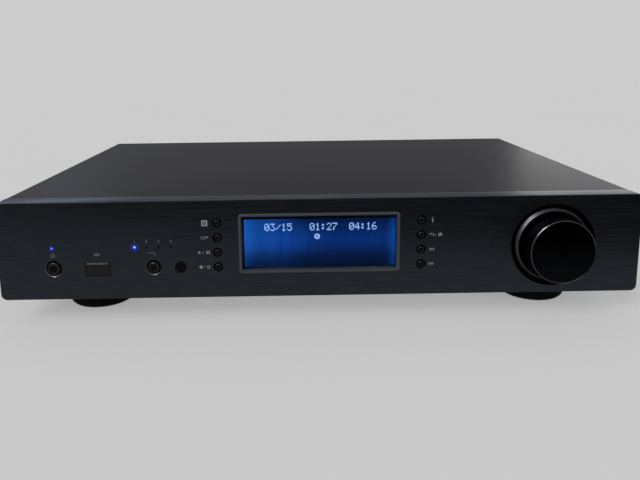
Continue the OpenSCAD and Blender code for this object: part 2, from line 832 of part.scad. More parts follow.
// Cap with its collar and the stem that enters the switch behind it
module push_cap(x, h, cap_d) {
  cap_r = cap_d / 2;
  edge = cap_d / 16;
  collar_r = cap_r + cap_gap + collar_w;
  dish_r = (cap_r * cap_r + cap_dish * cap_dish) / (2 * cap_dish);
  difference() {
    turned(x, h) polygon([
      [0, -cap_proud], [cap_r - edge, -cap_proud], [cap_r, edge - cap_proud], [cap_r, collar_front],
      [collar_r, collar_front], [collar_r, collar_back], [stem_d / 2, collar_back],
      [stem_d / 2, switch_front + stem_reach], [0, switch_front + stem_reach]
    ]);
    translate([x, face_y - cap_proud + cap_dish - dish_r, mid_z + h]) rotate([-90, 0, 0]) sphere(dish_r);
  }
}

module standby_button() { color("#2b2c31") push_cap(standby_x, control_h, button_d); }
module filter_button() { color("#2b2c31") push_cap(filter_x, control_h, filter_d); }
module left_key(i) { color("#2b2c31") push_cap(-key_x, key_rows[i], key_d); }
module right_key(i) { color("#2b2c31") push_cap(key_x, key_rows[i], key_d); }

module light_pipe(p) {
  bar(p.x, p.y, trim_gap, board_front - led_t, pipe_d);
}

module lit_light_pipes() {
  color("#3c6cff") for (p = [lights[0], lights[1]]) light_pipe(p);
}

module unlit_light_pipes() {
  color("#51545c") for (p = [lights[2], lights[3], lights[4]]) light_pipe(p);
}

module ir_window() {
  color("#14060a") union() {
    bar(ir_x, control_h, hole_gap, panel_face_t + cut, ir_d);
    bar(ir_x, control_h, panel_face_t, panel_face_t + collar_t, ir_d + 2 * collar_w);
  }
}

module key_board_parts() {
  receiver_t = 2.6;
  receiver_w = 6;
  color("#e0e0d8") for (p = lights) block(p.x, p.y, board_front - led_t, board_front, led_w, led_w);
  color("#202020") block(ir_x, control_h, board_front - receiver_t, board_front, receiver_w, receiver_w);
}

module key_boards() {
  left_x = (left_board_x0 + left_board_x1) / 2;
  right_x = (right_board_x0 + right_board_x1) / 2;
  left_w = left_board_x1 - left_board_x0;
  right_w = right_board_x1 - right_board_x0;
  color("#1d4a2c") {
    difference() {
      block(left_x, 0, board_front, board_back, left_w, key_board_tall);
      block(usb_x, usb_h, board_front - cut, board_back + cut, shell_w + 2 * shell_clear,
        shell_h + 2 * shell_clear);
      for (p = left_posts) bar(p.x, p.y, board_front - cut, board_back + cut, clear_d);
    }
    difference() {
      block(right_x, key_h, board_front, board_back, right_w, right_board_tall);
      for (p = right_posts) bar(p.x, p.y, board_front - cut, board_back + cut, clear_d);
    }
  }
}

module key_switches() {
  color("#3a3a3a") for (p = switch_places) {
    difference() {
      block(p.x, p.y, switch_front, board_front, switch_w, switch_w);
      bar(p.x, p.y, switch_front - cut, switch_front + switch_bore, stem_d + 2 * hole_gap);
    }
  }
}

module usb_dust_cover() {
  cover_back = shell_front - 0.4;
  blade_w = shell_w - 2 * shell_t - 0.6;
  blade_h = tongue_rise - tongue_t / 2 - hole_gap + shell_h / 2 - shell_t - hole_gap;
  blade_mid = usb_h - shell_h / 2 + shell_t + hole_gap + blade_h / 2;
  face_w = dust_w - 2 * dust_bevel - 1;
  face_h = dust_h - 2 * dust_bevel - 1;
  color("#1e1f23") difference() {
    union() {
      edged_plate(usb_x, usb_h, dust_w, dust_h, 1.2, dust_bevel, -dust_proud, cover_back);
      block(usb_x, blade_mid, cover_back - cut, shell_front + blade_l, blade_w, blade_h);
    }
    block(usb_x, usb_h, -dust_proud - cut, 0.25 - dust_proud, face_w, face_h);
  }
}

module front_usb_shell() {
  color("#b8babd") difference() {
    block(usb_x, usb_h, shell_front, usb_board_front, shell_w, shell_h);
    block(usb_x, usb_h, shell_front - cut, usb_board_front + cut, shell_inner_w, shell_inner_h);
  }
}

// Insulating block and contact tongue of a flat computer socket
module tongue(x, h, tip, base, back, w, tall) {
  block(x, h, base, back, w, tall);
  block(x, h + tongue_rise, tip, base + cut, tongue_w, tongue_t);
}

module usb_tongues() {
  mouth = rear_face + socket_lip;
  pair_h = board_h + usb_pair_size.y / 2;
  square_h = board_h + usb_square_size.y / 2;
  color("#e8e8e8") {
    tongue(usb_x, usb_h, shell_front + tongue_inset, usb_board_front - plug_back, usb_board_front,
      shell_inner_w, shell_inner_h);
    for (s = [-1, 1])
      block(usb_pair_x, pair_h + s * usb_pair_rise + tongue_rise, mouth - usb_pair_hole.z,
        mouth - tongue_inset, tongue_w, tongue_t);
    block(usb_square_x, square_h, mouth - usb_square_hole.z, mouth - tongue_inset,
      square_tongue.x, square_tongue.y);
  }
}

module front_boards() {
  encoder_board_low = link_h - encoder_board_edge;
  encoder_board_high = knob_h + encoder_w / 2 + encoder_board_edge / 2;
  color("#1d4a2c") {
    difference() {
      block((usb_board_x0 + usb_board_x1) / 2, usb_h + usb_board_rise, usb_board_front, usb_board_back,
        usb_board_x1 - usb_board_x0, usb_board_tall);
      for (p = usb_posts) bar(p.x, p.y, usb_board_front - cut, usb_board_back + cut, clear_d);
    }
    block(knob_x, (encoder_board_low + encoder_board_high) / 2, encoder_back, encoder_board_back,
      encoder_w + 2 * encoder_board_edge, encoder_board_high - encoder_board_low);
  }
}

// Case

module front_subframe() {
  half_w = panel_w / 2 - panel_wall - 1;
  top_z = inner_top - cover_gap;
  inset = 4;
  lcd_posts = [
    for (sx = [-1, 1], sh = [-1, 1]) [sx * (lcd_w / 2 - inset), display_rise + sh * (lcd_h / 2 - inset)]
  ];
  color("#9a9da2") difference() {
    union() {
      slab(-half_w, half_w, frame_face, frame_back, floor_top, top_z);
      slab(-half_w, half_w, frame_face, frame_face + flange_d, floor_top, flange_top);
      slab(-half_w, half_w, frame_face, frame_face + flange_d, top_z - sheet_t, top_z);
      for (p = key_posts) bar(p.x, p.y, board_back, frame_face + sheet_t / 2, post_d);
      for (p = lcd_posts) bar(p.x, p.y, frame_face - lcd_post, frame_face + sheet_t / 2, post_d);
      for (p = usb_posts) bar(p.x, p.y, frame_back - sheet_t / 2, usb_board_front, post_d);
    }
    for (p = boss_places) bar(p.x, p.y, frame_face - cut, frame_back + cut, clear_d);
    for (p = key_posts) bar(p.x, p.y, board_back - cut, frame_back + cut, tapped_d);
    for (p = usb_posts) bar(p.x, p.y, frame_face - cut, usb_board_front + cut, tapped_d);
    bar(knob_x, knob_h, frame_face - cut, frame_back + cut, bush_d + 2 * hole_gap);
    block(usb_x, usb_h, frame_face - cut, frame_back + cut, shell_w + shell_clear, shell_h + shell_clear);
    for (l = [links[1], links[2], links[3]])
      block(l.x, link_h, frame_face - cut, frame_back + cut, l.z + 4, link_t + 4);
    for (x = floor_screw_xs) post(x, floor_screw_ds[0], floor_top - cut, flange_top + cut, tapped_d);
  }
}

// Rows of cooling slots through the tray floor under the boards
module floor_slots() {
  slot_w = 3;
  slot_l = 26;
  slot_pitch = 9;
  left_shift = 85;
  right_shift = 65;
  groups = [main_board_x - left_shift, main_board_x + right_shift];
  for (x = groups, i = [-4:4]) {
    translate([x + i * slot_pitch, face_y + main_board_front + main_board_d / 2, floor_z - cut])
      linear_extrude(sheet_t + 2 * cut) rounded(slot_w, slot_l, slot_w / 2 - 0.01);
  }
}

// Holes right across the case for the screws in the cover's sides
module side_holes(dia) {
  for (d = side_screws) translate([-cover_w, face_y + d, side_screw_z]) rotate([0, 90, 0])
    cylinder(h = 2 * cover_w, d = dia);
}

module chassis_tray() {
  outer_r = bend_r + sheet_t;
  color("#8f9296") difference() {
    union() {
      difference() {
        translate([0, face_y + rear_inner, floor_z]) rotate([90, 0, 0])
          linear_extrude(rear_inner - frame_face) difference() {
            translate([0, tray_wall_h]) mirror([0, 1]) arch(tray_w, tray_wall_h, outer_r);
            translate([0, tray_wall_h + cut]) mirror([0, 1])
              arch(tray_w - 2 * sheet_t, tray_wall_h + cut - sheet_t, bend_r);
          }
        floor_slots();
      }
      for (p = board_posts) post(p.x, p.y, floor_z + sheet_t / 2, board_z, board_post_d);
    }
    for (p = board_posts) post(p.x, p.y, floor_z - cut, board_z + cut, tapped_d);
    for (p = foot_places) post(p.x, p.y, floor_z - cut, floor_top + cut, foot_screw_d + 2 * screw_gap);
    post(toroid_x, toroid_depth, floor_z - cut, floor_top + cut, toroid_bolt_d + 2 * screw_gap);
    for (x = floor_screw_xs, d = floor_screw_ds) post(x, d, floor_z - cut, floor_top + cut, clear_d);
    side_holes(tapped_d);
  }
}

// Round hole through the rear panel
module rear_hole(x, h, dia) {
  bar(x, h, rear_inner - cut, rear_face + cut, dia);
}

// Rectangular hole through the rear panel
module rear_window(x, h, w, tall) {
  block(x, h, rear_inner - cut, rear_face + cut, w, tall);
}

// Hole for a socket that stands on the main board
module board_opening(x, size) {
  rear_window(x, board_h + size.y / 2, size.x + 2 * socket_gap, size.y + 2 * socket_gap);
}

module rear_panel() {
  flange_half = tray_w / 2 - sheet_t - bend_r;
  top_z = inner_top - cover_gap;
  color("#2a2b2e") difference() {
    union() {
      translate([0, face_y + rear_face, floor_z]) rotate([90, 0, 0]) linear_extrude(sheet_t)
        arch(tray_w, top_z - floor_z, bend_r);
      slab(-flange_half, flange_half, rear_face - flange_d, rear_face, floor_top, flange_top);
    }
    for (x = rear_lip_xs) rear_hole(x, rear_lip_mid, tapped_d);
    for (x = floor_screw_xs) post(x, floor_screw_ds[1], floor_top - cut, flange_top + cut, tapped_d);
    for (p = phono_places) rear_hole(p.x, p.y, phono_d + 2 * trim_gap);
    for (x = balanced_xs) rear_hole(x, balanced_h, balanced_d + 2 * socket_gap);
    for (p = balanced_screws) rear_hole(p.x, p.y, tapped_d);
    for (x = optical_xs) board_opening(x, [optical_w, optical_tall]);
    board_opening(ethernet_x, ethernet_size);
    board_opening(usb_pair_x, usb_pair_size);
    board_opening(usb_square_x, usb_square_size);
    rear_window(inlet_x, mains_h, inlet_body.x + 2 * hole_gap, inlet_body.y + 2 * hole_gap);
    rear_window(rocker_x, mains_h, switch_body.x + 2 * hole_gap, switch_body.y + 2 * hole_gap);
  }
}

module top_cover() {
  outer_r = bend_r + sheet_t;
  tall = cover_top - floor_z;
  lip_half = cover_w / 2 - outer_r - 1;
  color("#2f3036") difference() {
    union() {
      translate([0, face_y + body_depth, floor_z]) rotate([90, 0, 0])
        linear_extrude(body_depth - panel_depth - seam_gap) difference() {
          arch(cover_w, tall, outer_r);
          translate([0, -cut]) arch(cover_w - 2 * sheet_t, tall - sheet_t + cut, bend_r);
        }
      slab(-lip_half, lip_half, rear_face, body_depth, cover_top - rear_lip_h, cover_top - sheet_t / 2);
    }
    for (x = rear_lip_xs) bar(x, rear_lip_mid, rear_face - cut, body_depth + cut, clear_d);
    side_holes(clear_d);
  }
}

module feet() {
  top_r = foot_top_d / 2;
  bottom_r = foot_bottom_d / 2;
  pad_r = pad_d / 2 + trim_gap;
  lip_z = pad_proud + foot_bevel;
  well_r = pad_r - pad_band;
  bore_r = foot_screw_d / 2 + screw_gap;
  web_z = floor_z - foot_web;
  color("#151517") for (p = foot_places) {
    translate([p.x, face_y + p.y, 0]) rotate_extrude() polygon([
      [bore_r, web_z], [well_r, web_z], [well_r, pad_t], [pad_r, pad_t], [pad_r, pad_proud],
      [bottom_r - foot_bevel, pad_proud], [bottom_r, lip_z], [top_r, floor_z - foot_rim], [top_r, floor_z],
      [bore_r, floor_z]
    ]);
  }
}

module foot_pads() {
  pad_r = pad_d / 2;
  hole_r = pad_r - pad_band;
  color("#26262a") for (p = foot_places) {
    translate([p.x, face_y + p.y, 0]) rotate_extrude() polygon([
      [hole_r, 0], [pad_r - pad_bevel, 0], [pad_r, pad_bevel], [pad_r, pad_t], [hole_r, pad_t]
    ]);
  }
}

module foot_screws() {
  color("#7d8085") for (p = foot_places)
    screw_up(p.x, p.y, floor_z - foot_web, foot_web + sheet_t + screw_tail, foot_screw_d, 2 * foot_screw_d);
}

module cover_screws() {
  color("#1a1a1c") {
    for (x = rear_lip_xs) screw_out(x, rear_lip_mid, body_depth, 2 * sheet_t + screw_tail);
    for (s = [-1, 1], d = side_screws)
      translate([s * cover_w / 2, face_y + d, side_screw_z]) rotate([0, s * 90, 0])
        screw(2 * sheet_t + screw_tail, screw_d, tall = low_head_t);
  }
}

module rear_screws() {
  shank = balanced_t + sheet_t + screw_tail;
  color("#1a1a1c") for (p = balanced_screws) screw_out(p.x, p.y, rear_face + balanced_t, shank);
}

module frame_screws() {
  color("#8f9499") {
    for (p = boss_places) screw_out(p.x, p.y, frame_back, sheet_t + boss_hole_l - 1);
    for (x = floor_screw_xs, d = floor_screw_ds) screw_up(x, d, floor_z, 2 * sheet_t + screw_tail, screw_d);
    screw_down(toroid_x, toroid_depth, toroid_top + dish_t, toroid_top + dish_t - floor_z + screw_tail,
      toroid_bolt_d, 2 * toroid_bolt_d);
  }
}

// Boards and power supply

module main_board() {
  color("#1d4a2c") difference() {
    slab(main_board_x0, main_board_x1, main_board_front, main_board_back, board_z, board_top);
    slab(main_board_x0 - cut, main_board_step_x, main_board_front - cut, main_board_step_d,
      board_z - cut, board_top + cut);
    for (p = main_posts) post(p.x, p.y, board_z - cut, board_top + cut, clear_d);
  }
}

module power_board() {
  color("#234a1d") difference() {
    slab(power_board_x0, power_board_x1, power_board_front, power_board_back, board_z, board_top);
    for (p = power_posts) post(p.x, p.y, board_z - cut, board_top + cut, clear_d);
  }
}

module board_screws() {
  key_screw_l = board_t + 1.4;
  color("#9da1a6") {
    for (p = board_posts) screw_down(p.x, p.y, board_top, board_t + post_h - 2, screw_d);
    for (p = key_posts) screw_in(p.x, p.y, board_front, key_screw_l);
    for (p = usb_posts) screw_out(p.x, p.y, usb_board_back, key_screw_l);
  }
}

// Box standing on a board, by its middle
module component(x, d, w, deep, tall) {
  slab(x - w / 2, x + w / 2, d - deep / 2, d + deep / 2, board_top, board_top + tall);
}

module board_components() {
  middle = main_board_front + main_board_d / 2;
  // Each chip: place from the board's middle across and in depth, then width, depth and height
  chips = [
    [-55, -8, 26, 26, 2.4], [7, 0, 18, 18, 1.8], [51, 8, 10, 10, 1.6],
    [51, -14, 10, 10, 1.6], [101, 6, 9, 12, 1.8], [101, -16, 9, 12, 1.8]
  ];
  mains_filter = [40, 12, 18];
  color("#25262a") for (c = chips) component(main_board_x + c[0], middle + c[1], c[2], c[3], c[4]);
  color("#d8d4c4") for (l = links)
    slab(l.x - l.z / 2 - 1, l.x + l.z / 2 + 1, link_end, link_end + link_connector.x,
      board_top, board_top + link_connector.y);
  color("#3a6a3a") component(power_board_x, power_board_back - mains_filter.y / 2 - 1,
    mains_filter.x, mains_filter.y, mains_filter.z);
}

// Round can standing on a board
module can(x, d, dia, tall) {
  post(x, d, board_top, board_top + tall, dia);
}

module board_capacitors() {
  tall_d = 16;
  tall_h = 30;
  tall_pitch = 18;
  tall_inset = 18;
  tall_last = floor((power_board_x1 - power_board_x0 - 4) / tall_pitch) - 1;
  tall_x0 = power_board_x - tall_last * tall_pitch / 2;
  small_d = 8;
  small_h = 12;
  small_pitch = 14;
  front_row = [55, 28];
  rear_row = [67, 44];
  color("#17181c") {
    for (i = [0:tall_last]) can(tall_x0 + i * tall_pitch, power_board_front + tall_inset, tall_d, tall_h);
    for (i = [0:4])
      can(main_board_x + front_row.x + i * small_pitch, main_board_front + front_row.y, small_d, small_h);
    for (i = [0:3])
      can(main_board_x + rear_row.x + i * small_pitch, main_board_back - rear_row.y, small_d, small_h);
  }
}

module network_module() {
  can_size = [34, 48, 4];
  can_shift = 107;
  color("#b4b8bd") component(main_board_x - can_shift, main_board_front + main_board_d / 2,
    can_size.x, can_size.y, can_size.z);
}

module transformer() {
  base = floor_top + toroid_pad;
  outer_r = toroid_d / 2;
  inner_r = toroid_bore_d / 2;
  color("#3b4a6a") translate([toroid_x, face_y + toroid_depth, base]) rotate_extrude() polygon([
    [inner_r + toroid_bevel, 0], [outer_r - toroid_bevel, 0],
    [outer_r, toroid_bevel], [outer_r, toroid_h - toroid_bevel],
    [outer_r - toroid_bevel, toroid_h], [inner_r + toroid_bevel, toroid_h],
    [inner_r, toroid_h - toroid_bevel], [inner_r, toroid_bevel]
  ]);
}

module transformer_clamp() {
  dish_d = (toroid_d + toroid_bore_d) / 2;
  bore_d = toroid_bolt_d + 2 * screw_gap;
  color("#2a2a2c") difference() {
    post(toroid_x, toroid_depth, floor_top, floor_top + toroid_pad, toroid_d - 2 * toroid_bevel);
    post(toroid_x, toroid_depth, floor_top - cut, floor_top + toroid_pad + cut, bore_d);
  }
  color("#a9acb1") difference() {
    post(toroid_x, toroid_depth, toroid_top, toroid_top + dish_t, dish_d);
    post(toroid_x, toroid_depth, toroid_top - cut, toroid_top + dish_t + cut, bore_d);
  }
}

module wiring() {
  mains_d = 2.6;
  lead_back = rear_inner - inlet_deep + sheet_t;
  color("#c9cacc") for (l = links)
    block(l.x, link_h, l.y, link_end, l.z, link_t);
  color("#7a3b2a") for (x = [inlet_x + 4, inlet_x + 9])
    bar(x, mains_h - 5, power_board_back - 1, lead_back - sheet_t, mains_d);
}

// Rear sockets

module mains_inlet() {
  floor_d = rear_inner - inlet_deep;
  color("#141416") difference() {
    union() {
      across(rear_face, rear_face + inlet_flange_t) translate([inlet_x, mains_h])
        rounded(inlet_flange.x, inlet_flange.y, inlet_flange_r);
      block(inlet_x, mains_h, floor_d, rear_face + cut, inlet_body.x, inlet_body.y);
    }
    across(rear_face + inlet_flange_t - inlet_hole_deep, rear_face + inlet_flange_t + cut)
      translate([inlet_x, mains_h]) clipped(inlet_hole.x, inlet_hole.y, inlet_corner);
  }
}

module socket_pins() {
  inlet_floor = rear_face + inlet_flange_t - inlet_hole_deep;
  balanced_floor = rear_face + balanced_t - balanced_deep + balanced_base;
  color("#c9c2a8") {
    for (p = inlet_pins)
      block(inlet_x + p.x, mains_h + p.y, inlet_floor, rear_face - 1, inlet_pin.x, inlet_pin.y);
    for (x = balanced_xs, p = balanced_pins)
      bar(x + p.x, balanced_h + p.y, balanced_floor, rear_face, balanced_pin_d);
  }
}

module mains_switch_frame() {
  well = [rocker_w + 2 * rocker_gap, 2 * rocker_r + 2 * rocker_gap];
  well_floor = rocker_axis - rocker_r - rocker_gap;
  well_mouth = rear_face + switch_flange_t + cut;
  pin_bore_l = rocker_w + 2 * rocker_pin_l + 2 * rocker_gap;
  color("#161618") difference() {
    union() {
      across(rear_face, rear_face + switch_flange_t) translate([rocker_x, mains_h])
        rounded(switch_flange.x, switch_flange.y, switch_flange_r);
      block(rocker_x, mains_h, rear_face - switch_deep, rear_face + cut, switch_body.x, switch_body.y);
    }
    block(rocker_x, mains_h, well_floor, well_mouth, well.x, well.y);
    translate([rocker_x, face_y + rocker_axis, mid_z + mains_h]) rotate([0, 90, 0])
      cylinder(h = pin_bore_l, d = rocker_pin_d + 2 * shaft_gap, center = true);
  }
}

module mains_rocker() {
  crest = 5.6;
  valley = 4;
  back = -3;
  pin_l = rocker_w + 2 * rocker_pin_l;
  axis_place = [rocker_x, face_y + rocker_axis, mid_z + mains_h];
  color("#101012") translate(axis_place) rotate([rocker_tilt, 0, 0]) {
    rotate([90, 0, 90]) linear_extrude(rocker_w, center = true) intersection() {
      circle(rocker_r);
      polygon([[back, -rocker_r], [crest, -rocker_r], [valley, 0], [crest, rocker_r], [back, rocker_r]]);
    }
    rotate([0, 90, 0]) cylinder(h = pin_l, d = rocker_pin_d, center = true);
  }
}

module phono_barrels() {
  color("#c8a85a") for (p = phono_places) {
    difference() {
      union() {
        bar(p.x, p.y, rear_inner, phono_tip, phono_d);
        bar(p.x, p.y, rear_face, rear_face + collar_ring_t, collar_ring_d);
      }
      bar(p.x, p.y, rear_inner - cut, phono_tip + cut, phono_bore_d);
    }
  }
}

// Moulded insulator that fills a phono barrel, with the hole for the plug's pin
module phono_core(p) {
  difference() {
    bar(p.x, p.y, rear_inner - cut, phono_tip - 0.5, phono_bore_d - 2 * screw_gap);
    bar(p.x, p.y, rear_inner, phono_tip + cut, pin_hole_d);
  }
}

// Moulded housing behind a phono socket, standing on the main board
module phono_housing(x, tall) {
  block(x, board_h + tall / 2, rear_inner - phono_block_d, rear_inner, phono_block, tall);
}

module phono_inserts() {
  tall = 2 * phono_axis;
  color("#e6e4de") {
    for (x = phono_xs) phono_housing(x, tall);
    phono_housing(phono_pair_x, tall + phono_rise);
    for (p = phono_places) phono_core(p);
  }
}

module balanced_sockets() {
  face = rear_face + balanced_t;
  color("#8d9095") for (x = balanced_xs) {
    difference() {
      union() {
        across(rear_face, face) translate([x, balanced_h]) rounded(balanced_w, balanced_tall, balanced_r);
        bar(x, balanced_h, face - balanced_deep, face, balanced_d);
      }
      bar(x, balanced_h, face - balanced_deep + balanced_base, face + cut, balanced_bore_d);
      for (p = balanced_screws) bar(p.x, p.y, rear_face - cut, face + cut, clear_d);
    }
  }
}

// Metal box of a computer socket, standing on the main board
module socket_box(x, size) {
  mouth = rear_face + socket_lip;
  block(x, board_h + size.y / 2, mouth - size.z, mouth, size.x, size.y);
}

module data_sockets() {
  mouth = rear_face + socket_lip;
  pair_h = board_h + usb_pair_size.y / 2;
  ethernet_h = board_h + ethernet_size.y / 2;
  square_h = board_h + usb_square_size.y / 2;
  square_corner = 1.8;
  latch = [4, 2.6, 8];
  latch_h = ethernet_h - ethernet_hole.y / 2 - latch.y / 2 + 0.5;
  color("#b8babd") {
    difference() {
      socket_box(ethernet_x, ethernet_size);
      block(ethernet_x, ethernet_h, mouth - ethernet_hole.z, mouth + cut, ethernet_hole.x, ethernet_hole.y);
      block(ethernet_x, latch_h, mouth - latch.z, mouth + cut, latch.x, latch.y);
    }
    difference() {
      socket_box(usb_pair_x, usb_pair_size);
      for (s = [-1, 1])
        block(usb_pair_x, pair_h + s * usb_pair_rise, mouth - usb_pair_hole.z, mouth + cut,
          usb_pair_hole.x, usb_pair_hole.y);
    }
    difference() {
      socket_box(usb_square_x, usb_square_size);
      across(mouth - usb_square_hole.z, mouth + cut) translate([usb_square_x, square_h])
        clipped(usb_square_hole.x, usb_square_hole.y, square_corner);
    }
  }
}

module optical_sockets() {
  mouth = rear_face + socket_lip;
  bore_deep = 8;
  fibre_d = 2.4;
  fibre_l = 2;
  axis_h = board_h + optical_tall / 2;
  color("#17171a") for (x = optical_xs) {
    difference() {
      socket_box(x, [optical_w, optical_tall, optical_deep]);
      block(x, axis_h, mouth - bore_deep, mouth + cut, optical_bore, optical_bore);
    }
    bar(x, axis_h, mouth - bore_deep - cut, mouth - bore_deep + fibre_l, fibre_d);
  }
}

front_panel();
display_bezel();
display_window();
lcd_frame();
lcd_panel();
lcd_board();
control_knob();
knob_ring();
encoder_shaft();
encoder_rotor();
encoder_body();
encoder_nut();
standby_button();
filter_button();
for (i = [0:3]) left_key(i);
for (i = [0:3]) right_key(i);
lit_light_pipes();
unlit_light_pipes();
ir_window();
key_board_parts();
key_boards();
key_switches();
usb_dust_cover();
front_usb_shell();
usb_tongues();
front_boards();
front_subframe();
chassis_tray();
rear_panel();
top_cover();
feet();
foot_pads();
foot_screws();
cover_screws();
rear_screws();
frame_screws();
main_board();
board_screws();
board_components();
board_capacitors();
network_module();
transformer();
transformer_clamp();
power_board();
wiring();
mains_inlet();
socket_pins();
mains_switch_frame();
mains_rocker();
phono_barrels();
phono_inserts();
balanced_sockets();
data_sockets();
optical_sockets();
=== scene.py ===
# %% [markdown]
# # A network music streamer, dressed in Blender
#
# The solids come from CAD and stay as they are. This lesson sets the camera and the light, gives every
# solid a finish, and models what the CAD leaves out: printed signs, the display's dots, marks on the
# mains rocker, screw heads with a cross recess, the slope of the knob's foot ring and gold contacts.
#
# The imported model is loaded first, because every later place is read from it.

# %% Load the imported model
import json
import math

import bpy
from mathutils import Matrix, Vector


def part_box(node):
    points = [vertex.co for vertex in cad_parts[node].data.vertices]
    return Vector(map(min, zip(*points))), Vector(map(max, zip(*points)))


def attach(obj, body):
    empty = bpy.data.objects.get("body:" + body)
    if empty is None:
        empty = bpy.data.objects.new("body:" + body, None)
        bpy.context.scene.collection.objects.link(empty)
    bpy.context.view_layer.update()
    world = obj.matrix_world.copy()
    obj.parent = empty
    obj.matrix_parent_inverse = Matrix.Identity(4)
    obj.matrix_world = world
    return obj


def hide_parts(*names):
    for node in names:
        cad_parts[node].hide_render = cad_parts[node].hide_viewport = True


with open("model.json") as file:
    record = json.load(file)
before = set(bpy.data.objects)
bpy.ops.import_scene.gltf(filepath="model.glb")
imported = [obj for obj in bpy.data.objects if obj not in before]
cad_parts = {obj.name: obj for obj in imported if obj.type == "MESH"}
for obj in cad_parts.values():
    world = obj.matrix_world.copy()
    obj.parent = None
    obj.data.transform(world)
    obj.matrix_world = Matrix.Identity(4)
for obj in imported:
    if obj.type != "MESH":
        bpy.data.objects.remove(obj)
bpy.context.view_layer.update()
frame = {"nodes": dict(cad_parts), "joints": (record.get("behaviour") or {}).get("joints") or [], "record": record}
nodes = frame["nodes"]
record = frame["record"]
MM = 0.001


def in_mm(vector):
    """A vector in millimetres, rounded for printing."""
    return [round(v / MM, 2) for v in vector]


# %% [markdown]
# ## Places that later steps need
#
# A sign is printed beside the control it belongs to, so its place should follow the control, not a typed
# number. Measuring each solid's box once gives the middle of every button and light, and the level of the
# panel face.

# %% Measure the controls


def middle(name):
    """The middle of a solid's box."""
    low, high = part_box(name)
    return (low + high) / 2


panel_low, panel_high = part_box("front_panel")
FACE_Y = panel_low.y
PANEL_FOOT = panel_low.z
standby = middle("standby_button")
filter_key = middle("filter_button")
knob_axis = middle("knob_ring")
lit_low, lit_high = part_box("lit_light_pipes")
LIGHT_R = (lit_high.z - lit_low.z) / 2
LIGHT_Z = middle("lit_light_pipes").z
LIGHT_COUNT = 4
standby_light = lit_low.x + LIGHT_R
filter_light = lit_high.x - LIGHT_R
last_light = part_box("unlit_light_pipes")[1].x - LIGHT_R
light_pitch = (last_light - filter_light) / (LIGHT_COUNT - 1)
print("panel face at y", round(FACE_Y / MM, 2), "lights pitch", round(light_pitch / MM, 2))

# %% [markdown]
# ## Camera
#
# The picture was taken with a phone-like lens from slightly above. A camera can be placed by eye or
# solved from known edges; it was solved from the panel's and the case's corners, and the numbers are
# typed here. The middle of the picture lies below the lens axis and a little to its right, as in a crop,
# so the lens is shifted by that much.

# %% Set the camera
IMAGE_W, IMAGE_H = 640, 480
FOCAL_PX = 601.0
AXIS_PX = (300, 160)
EYE_FROM_FOOT = Vector((-14.84, -385.75, 158.95)) * MM
YAW, PITCH, ROLL = (math.radians(angle) for angle in (0.386, 9.659, -0.755))
QUARTER = math.pi / 2


def turned(angle, axis):
    return Matrix.Rotation(angle, 4, axis)


camera_data = bpy.data.cameras.new("camera")
camera = bpy.data.objects.new("camera", camera_data)
bpy.context.scene.collection.objects.link(camera)
bpy.context.scene.camera = camera
camera_data.sensor_width = 36
camera_data.lens = FOCAL_PX / IMAGE_W * camera_data.sensor_width
camera_data.shift_x = (IMAGE_W / 2 - AXIS_PX[0]) / IMAGE_W
camera_data.shift_y = (AXIS_PX[1] - IMAGE_H / 2) / IMAGE_W
camera_data.clip_start = 10 * MM
eye = Vector((0, FACE_Y, PANEL_FOOT)) + EYE_FROM_FOOT
look = turned(-YAW, "Z") @ turned(QUARTER - PITCH, "X") @ turned(ROLL, "Z")
camera.matrix_world = Matrix.Translation(eye) @ look
print("camera at mm", in_mm(eye), "lens", round(camera_data.lens, 1))

# %% [markdown]
# ## Floor and sky
#
# The object stands on a pale floor with no visible edge. A curved paper sweep would do, but a plane of
# the same grey as the sky is simpler and meets it without a line. The sky gives about half of the light,
# from all round.

# %% Lay the floor and set the sky
PALE = 0.604
FLOOR_SIZE = 60


def stage_plane(name, size, place, spin=0.0):
    """A flat sheet that belongs to the stage and not to the object."""
    bpy.ops.object.select_all(action="DESELECT")
    bpy.ops.mesh.primitive_plane_add(size=size, location=place, rotation=(0, 0, spin))
    made = bpy.context.object
    made.name = name
    return made


floor = stage_plane("floor", FLOOR_SIZE, (0, 0, 0))
world = bpy.data.worlds.new("sky")
bpy.context.scene.world = world
world.use_nodes = True
sky = world.node_tree.nodes["Background"]
sky.inputs["Color"].default_value = (PALE, PALE, PALE, 1)
sky.inputs["Strength"].default_value = 1.0
bpy.context.scene.view_settings.view_transform = "Standard"
print("floor", floor.name, "sky", world.name)

# %% [markdown]
# ## Lamps
#
# One broad soft lamp from above gives the other half of the light, so a surface that faces up renders
# about as its colour is written. Three softboxes are there only for gloss. One stands low behind on the
# right, and a small one with the blue of daylight behind on the left: they light the two ends of the
# cover as windows would. One overhead glints on every bevel that faces up and to the left, as a ceiling
# lamp does. Highlights could be painted, but painted ones would stay in place when the object turns.

# %% Hang the lamps
SUN_SPREAD = math.radians(34)
DAYLIGHT = (0.86, 0.97, 1.24)


def lamp(name, kind, place, aim, energy):
    """A lamp turned towards an aim, which the camera doesn't see."""
    made = bpy.data.objects.new(name, bpy.data.lights.new(name, kind))
    bpy.context.scene.collection.objects.link(made)
    made.data.energy = energy
    made.location = place
    made.rotation_euler = (Vector(aim) - Vector(place)).to_track_quat("-Z", "Y").to_euler()
    made.visible_camera = False
    return made


def softbox(name, place, aim, energy, size, colour=(1, 1, 1)):
    """A rectangular lamp that shows only in gloss."""
    made = lamp(name, "AREA", place, aim, energy)
    made.data.color = colour
    made.data.shape = "RECTANGLE"
    made.data.size, made.data.size_y = size
    made.visible_diffuse = False


